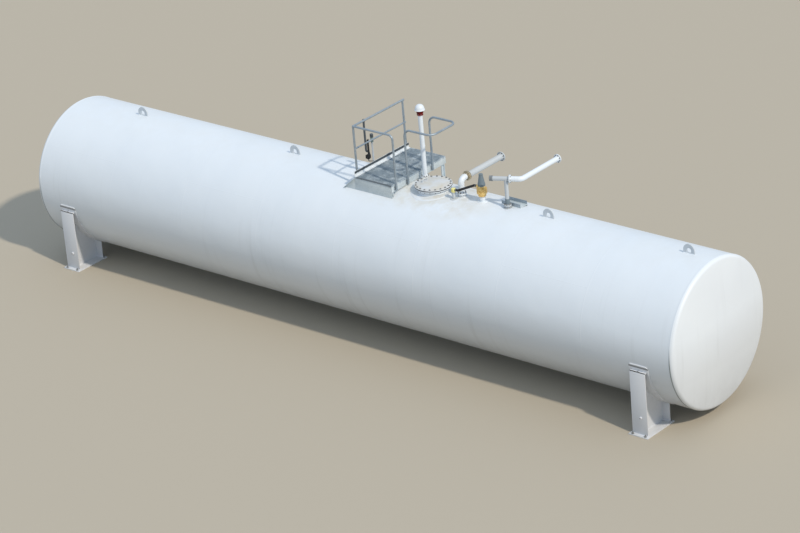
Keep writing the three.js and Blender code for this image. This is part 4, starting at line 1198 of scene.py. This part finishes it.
# Grating: pressed floor panel, bearing bars across the platform and thinner cross bars notched into them,
# banded all round. The real mesh is about 30 mm.
MESH_X = 0.0320
MESH_Y = 0.0330
BEARING_BAR = 0.003
CROSS_BAR = 0.002
BAND = 0.004
EDGE_STRIP = 0.06
grating = bmesh.new()
count_x = round((GRATE_HIGH.x - GRATE_LOW.x) / MESH_X)
count_y = round((GRATE_HIGH.y - GRATE_LOW.y) / MESH_Y)
step_x = (GRATE_HIGH.x - GRATE_LOW.x - BAND) / count_x
step_y = (GRATE_HIGH.y - GRATE_LOW.y - BAND) / count_y
bearing = block((-BEARING_BAR / 2, GRATE_LOW.y + 0.001, GRATE_LOW.z),
                (BEARING_BAR / 2, GRATE_HIGH.y - 0.001, GRATE_HIGH.z - 0.001), 0.0004, 1)
put(grating, bearing, *[at(GRATE_LOW.x + BAND / 2 + step_x * k, 0, 0) for k in range(1, count_x)])
cross = block((GRATE_LOW.x + 0.001, -CROSS_BAR / 2, GRATE_HIGH.z - 0.012),
              (GRATE_HIGH.x - 0.001, CROSS_BAR / 2, GRATE_HIGH.z), 0.0004, 1)
put(grating, cross, *[at(0, GRATE_LOW.y + BAND / 2 + step_y * k, 0) for k in range(1, count_y)])
left, front, right, back = GRATE_LOW.x, GRATE_LOW.y, GRATE_HIGH.x, GRATE_HIGH.y
edges = [(left, front, left + BAND, back), (right - BAND, front, right, back)]
edges += [(left, front, right, front + BAND), (left, back - BAND, right, back)]
for x0, y0, x1, y1 in edges:
    put(grating, block((x0, y0, GRATE_LOW.z), (x1, y1, GRATE_HIGH.z), 0.0006, 1))
finished("pressed_grating", grating, floor_galvanised, "galvanised", "platform_grating")

# Toe board: a galvanised flat bar on edge along the side rail, with a plain strip beside it, both made
# brighter as painted light for the sun on them. A dark cable duct hides its upper half, and a nosing bar,
# darker as painted shade, finishes the front of the floor. The duct's satin, dark grey enamel is also on
# the cable tube, the box's conduit and the probe's head.
TOE_LOW, TOE_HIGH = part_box("toe_board")
dark_enamel = enamel("dark_grey_enamel", "#41494F", "#535C63", across=(4.0, 4.0, 0.5), rough=0.48, dirt_and_shade=0.5)
DUCT_DEEP = 0.045
NOSING = 0.014
toe = bmesh.new()
put(toe, block(TOE_LOW, TOE_HIGH, 0.001))
put(toe, block((TOE_HIGH.x, GRATE_LOW.y + 0.002, GRATE_HIGH.z + 0.0005),
               (GRATE_LOW.x + EDGE_STRIP, GRATE_HIGH.y - 0.002, GRATE_HIGH.z + 0.004), 0.001, 1))
finished("toe_flat_bar", toe, sun_brightened_galvanised, "galvanised", "toe_board")
duct = bmesh.new()
put(duct, block((TOE_HIGH.x + 0.0005, TOE_LOW.y + 0.004, TOE_HIGH.z - DUCT_DEEP),
                (TOE_HIGH.x + 0.012, TOE_HIGH.y - 0.004, TOE_HIGH.z - 0.002), 0.003))
finished("cable_duct", duct, dark_enamel, "dark_grey")
nosing = bmesh.new()
put(nosing, block((GRATE_LOW.x + EDGE_STRIP, GRATE_LOW.y - 0.006, GRATE_HIGH.z - 0.022),
                  (GRATE_HIGH.x - 0.002, GRATE_LOW.y + NOSING, GRATE_HIGH.z + 0.003), 0.002))
finished("floor_nosing", nosing, shade_darkened_galvanised, "galvanised")


# Guard rails: galvanised steel tube, bent cold at the corners and welded into panels. Flat feet are
# bolted to the frame's channels, two bolts to a foot.
SIDE_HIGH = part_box("guardrail_side")[1]
ENDR_LOW, ENDR_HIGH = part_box("guardrail_end")
BOW_LOW, BOW_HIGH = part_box("guardrail_bow")
TUBE_R = 0.021
KNEE_R = 0.017
RAIL_Z = SIDE_HIGH.z - TUBE_R
KNEE_Z = 3.75
RAIL_X = FRAME_LOW.x - 0.024
CORNER_X = FRAME_HIGH.x + 0.024
POST_LOW_Z = FRAME_HIGH.z - 0.098
RAIL_FOOT_GAP = 0.0005
RAIL_FOOT_OUT = 0.009
RAIL_FOOT_RIB = 0.02325
rail_bolts = bmesh.new()


# A foot: a flat plate between post and channel, from just over
# the channel's lower edge to its top, with bolts.
def rail_foot(panel, y, side):
    edge = FRAME_LOW.x if side < 0 else FRAME_HIGH.x
    near, outer, rib = (edge + side * out for out in (RAIL_FOOT_GAP, RAIL_FOOT_OUT, RAIL_FOOT_RIB))
    for reach, half, ease in ((sorted((near, outer)), 0.045, 0.002), (sorted((rib, edge)), 0.005, 0.001)):
        put(panel, block((reach[0], y - half, POST_LOW_Z), (reach[1], y + half, FRAME_HIGH.z), ease))
    turn = Matrix.Rotation(side * math.pi / 2, 4, "Y")
    spots = [(dy, z) for dy in (-0.033, 0.033) for z in (POST_LOW_Z + 0.025, FRAME_HIGH.z - 0.025)]
    put(rail_bolts, bolt(0.010), *[at(outer, y + dy, z, turn) for dy, z in spots])


side_posts = (-0.44, SIDE_HIGH.y - 0.04)
side_rail = bmesh.new()
for y in side_posts:
    put(side_rail, tube([(RAIL_X, y, POST_LOW_Z), (RAIL_X, y, RAIL_Z)], TUBE_R, 24))
    put(side_rail, weld_ring(TUBE_R, 0.004, 24), at(RAIL_X, y, RAIL_Z - TUBE_R))
    rail_foot(side_rail, y, -1)
put(side_rail, tube([(RAIL_X, side_posts[0], RAIL_Z), (RAIL_X, SIDE_HIGH.y, RAIL_Z)], TUBE_R, 24))
ball_angles = [math.pi * (k / 10 - 0.5) for k in range(1, 10)]
ball = [(0, -TUBE_R), *[(TUBE_R * math.cos(a), TUBE_R * math.sin(a)) for a in ball_angles], (0, TUBE_R)]
put(side_rail, turned(ball, 24), at(RAIL_X, side_posts[0], RAIL_Z))
put(side_rail, tube([(RAIL_X, side_posts[0], KNEE_Z), (RAIL_X, SIDE_HIGH.y, KNEE_Z)], KNEE_R, 20))
finished("side_guard_rail", side_rail, galvanised, "galvanised", "guardrail_side")

end_y = (ENDR_LOW.y + ENDR_HIGH.y) / 2
end_start = RAIL_X + TUBE_R + 0.001
end_rail = bmesh.new()
line = [(end_start, end_y, RAIL_Z), (CORNER_X, end_y, RAIL_Z), (CORNER_X, end_y, POST_LOW_Z)]
put(end_rail, tube(bent(line, 0.09, 12), TUBE_R, 24))
rail_foot(end_rail, end_y, 1)
finished("end_guard_rail", end_rail, galvanised, "galvanised", "guardrail_end")

BOW_BEND = 0.15
bow_y = (BOW_LOW.y + 0.03, BOW_HIGH.y - 0.03)
bow_x = BOW_HIGH.x - TUBE_R
bow = bmesh.new()
line = [(CORNER_X, bow_y[0], POST_LOW_Z), (CORNER_X, bow_y[0], RAIL_Z), (bow_x, bow_y[0], RAIL_Z),
        (bow_x, bow_y[1], RAIL_Z), (CORNER_X, bow_y[1], RAIL_Z), (CORNER_X, bow_y[1], POST_LOW_Z)]
put(bow, tube(bent(line, BOW_BEND, 12), TUBE_R, 24))
for y in bow_y:
    rail_foot(bow, y, 1)
finished("bowed_guard_rail", bow, galvanised, "galvanised", "guardrail_bow")
faced_out(rail_bolts)
finished("rail_bolts", rail_bolts, zinc, "galvanised")


# Level gauge and its junction box: a black moulded box with a screwed lid on a plate at the rail, a dark
# cable tube above it, and a slim probe that passes into the crown and has a dark head.
BOX_LOW, BOX_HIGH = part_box("junction_box")
TUBE_LOW, TUBE_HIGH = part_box("cable_tube")
PROBE_LOW, PROBE_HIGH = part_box("level_probe")
PHEAD_LOW, PHEAD_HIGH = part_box("probe_head")
BODY_TOP = 3.46
BODY_DEEP = 0.070
box_piece = bmesh.new()
body_x = BOX_LOW.x + BODY_DEEP
put(box_piece, block((BOX_LOW.x + 0.022, BOX_LOW.y, BOX_LOW.z), (body_x, BOX_HIGH.y, BODY_TOP), 0.010, 4))
put(box_piece, block((BOX_LOW.x, BOX_LOW.y + 0.003, BOX_LOW.z + 0.003),
                     (BOX_LOW.x + 0.019, BOX_HIGH.y - 0.003, BODY_TOP - 0.003), 0.006, 4))
put(box_piece, block((body_x - 0.001, BOX_LOW.y, BOX_LOW.z), (BOX_HIGH.x, BOX_LOW.y + 0.05, BOX_HIGH.z),
                     0.002))
entries = [BOX_LOW.y + 0.03, BOX_HIGH.y - 0.03]
gland = [(0, -0.012), (0.009, -0.012), (0.012, -0.010), (0.012, -0.004), (0.015, -0.003), (0.015, 0.001),
         (0, 0.001)]
put(box_piece, turned(gland, 20), *[at((BOX_LOW.x + body_x) / 2, y, BOX_LOW.z) for y in entries])
finished("moulded_junction_box", box_piece, rubber, "black_rubber", "junction_box")
lid_screws = bmesh.new()
to_front = Matrix.Rotation(-math.pi / 2, 4, "Y")
spots = [(y, z) for y in (BOX_LOW.y + 0.013, BOX_HIGH.y - 0.013)
         for z in (BOX_LOW.z + 0.013, BODY_TOP - 0.013)]
put(lid_screws, turned([(0, -0.001), (0.006, -0.001), (0.006, 0.002), (0.004, 0.004), (0, 0.004)], 16),
    *[at(BOX_LOW.x, y, z, to_front) for y, z in spots])
faced_out(lid_screws)
finished("lid_screws", lid_screws, zinc, "galvanised")
conduit = bmesh.new()
drop_x, drop_y = BOX_HIGH.x - 0.026, BOX_LOW.y + 0.03
drop = [(drop_x, drop_y, BOX_LOW.z - 0.012), (drop_x, drop_y, TOE_HIGH.z + 0.010),
        (TOE_HIGH.x, drop_y + 0.10, TOE_HIGH.z - 0.012)]
put(conduit, tube(bent(drop, 0.012, 6), 0.008, 12))
finished("box_conduit", conduit, dark_enamel, "dark_grey")

tube_x = (TUBE_LOW.x + TUBE_HIGH.x) / 2
tube_r = (TUBE_HIGH.x - TUBE_LOW.x) / 2
high_y, entry_y = TUBE_LOW.y + tube_r, TUBE_HIGH.y - tube_r
line = [(tube_x, high_y, TUBE_HIGH.z - 0.02), (tube_x, high_y, BODY_TOP + 0.095),
        (tube_x, entry_y, BODY_TOP + 0.055), (tube_x, entry_y, TUBE_LOW.z)]
cable_tube = bmesh.new()
put(cable_tube, tube(bent(line, 0.05, 8), tube_r - 0.003, 28))
put(cable_tube, turned([(0, 0), (tube_r, 0), (tube_r, 0.030), (tube_r - 0.006, 0.036), (0, 0.036)], 28),
    at(tube_x, high_y, TUBE_HIGH.z - 0.036))
put(cable_tube, turned([(0, 0), (tube_r, 0), (tube_r, 0.020), (tube_r - 0.003, 0.024), (0, 0.024)], 28),
    at(tube_x, entry_y, TUBE_LOW.z))
finished("cable_guard_tube", cable_tube, dark_enamel, "dark_grey", "cable_tube")

probe_x, probe_y = (PROBE_LOW.x + PROBE_HIGH.x) / 2, (PROBE_LOW.y + PROBE_HIGH.y) / 2
probe_r = (PROBE_HIGH.y - PROBE_LOW.y) / 2
rise = PROBE_HIGH.z - CROWN_Z
probe = bmesh.new()
shoulder = probe_r - 0.004
put(probe, turned([(0, -0.03), (shoulder, -0.03), (shoulder, 0.022), (probe_r, 0.026), (probe_r, 0.046),
                   (shoulder, 0.050), (0.024, 0.050), (0.024, 0.066), (0.017, 0.070), (0.017, rise - 0.02),
                   (0.024, rise - 0.018), (0.024, rise), (0, rise)], 32), at(probe_x, probe_y, CROWN_Z))
put(probe, shell_pad(shoulder, 0.08, PAD_THICK, probe_x, probe_y, 32))
finished("level_probe_stem", probe, grey_enamel, "pipe_steel", "level_probe")

# Grey-green stoving enamel on the probe's collar: even, satin, a little chalked.
collar_enamel = enamel("grey_green_stoving_enamel", "#8FA39A", "#84988F", rough=0.4, dirt_and_shade=0.5)
rise = PHEAD_HIGH.z - PHEAD_LOW.z
head_r = (PHEAD_HIGH.x - PHEAD_LOW.x) / 2
probe_head = bmesh.new()
put(probe_head, turned([(0, 0), (0.024, 0), (0.028, 0.006), (0.028, 0.096), (head_r, 0.106),
                        (head_r, rise - 0.046), (head_r - 0.002, rise - 0.043), (head_r, rise - 0.040),
                        (head_r, rise - 0.010), (head_r - 0.008, rise), (0, rise)], 32),
    at(probe_x, probe_y, PHEAD_LOW.z))
put(probe_head, turned([(0, 0), (0.012, 0), (0.012, 0.018), (0.008, 0.024), (0, 0.024)], 20),
    at(probe_x, probe_y + 0.014, PHEAD_LOW.z + 0.13, TO_Y))
finished("probe_terminal_head", probe_head, dark_enamel, "dark_grey", "probe_head")
collar = bmesh.new()
put(collar, turned([(0, 0), (0.027, 0), (0.030, 0.003), (0.030, 0.088), (0.027, 0.092), (0, 0.092)], 32),
    at(probe_x, probe_y, PHEAD_LOW.z + 0.004))
finished("probe_collar", collar, collar_enamel, "pipe_steel")


low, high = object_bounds()
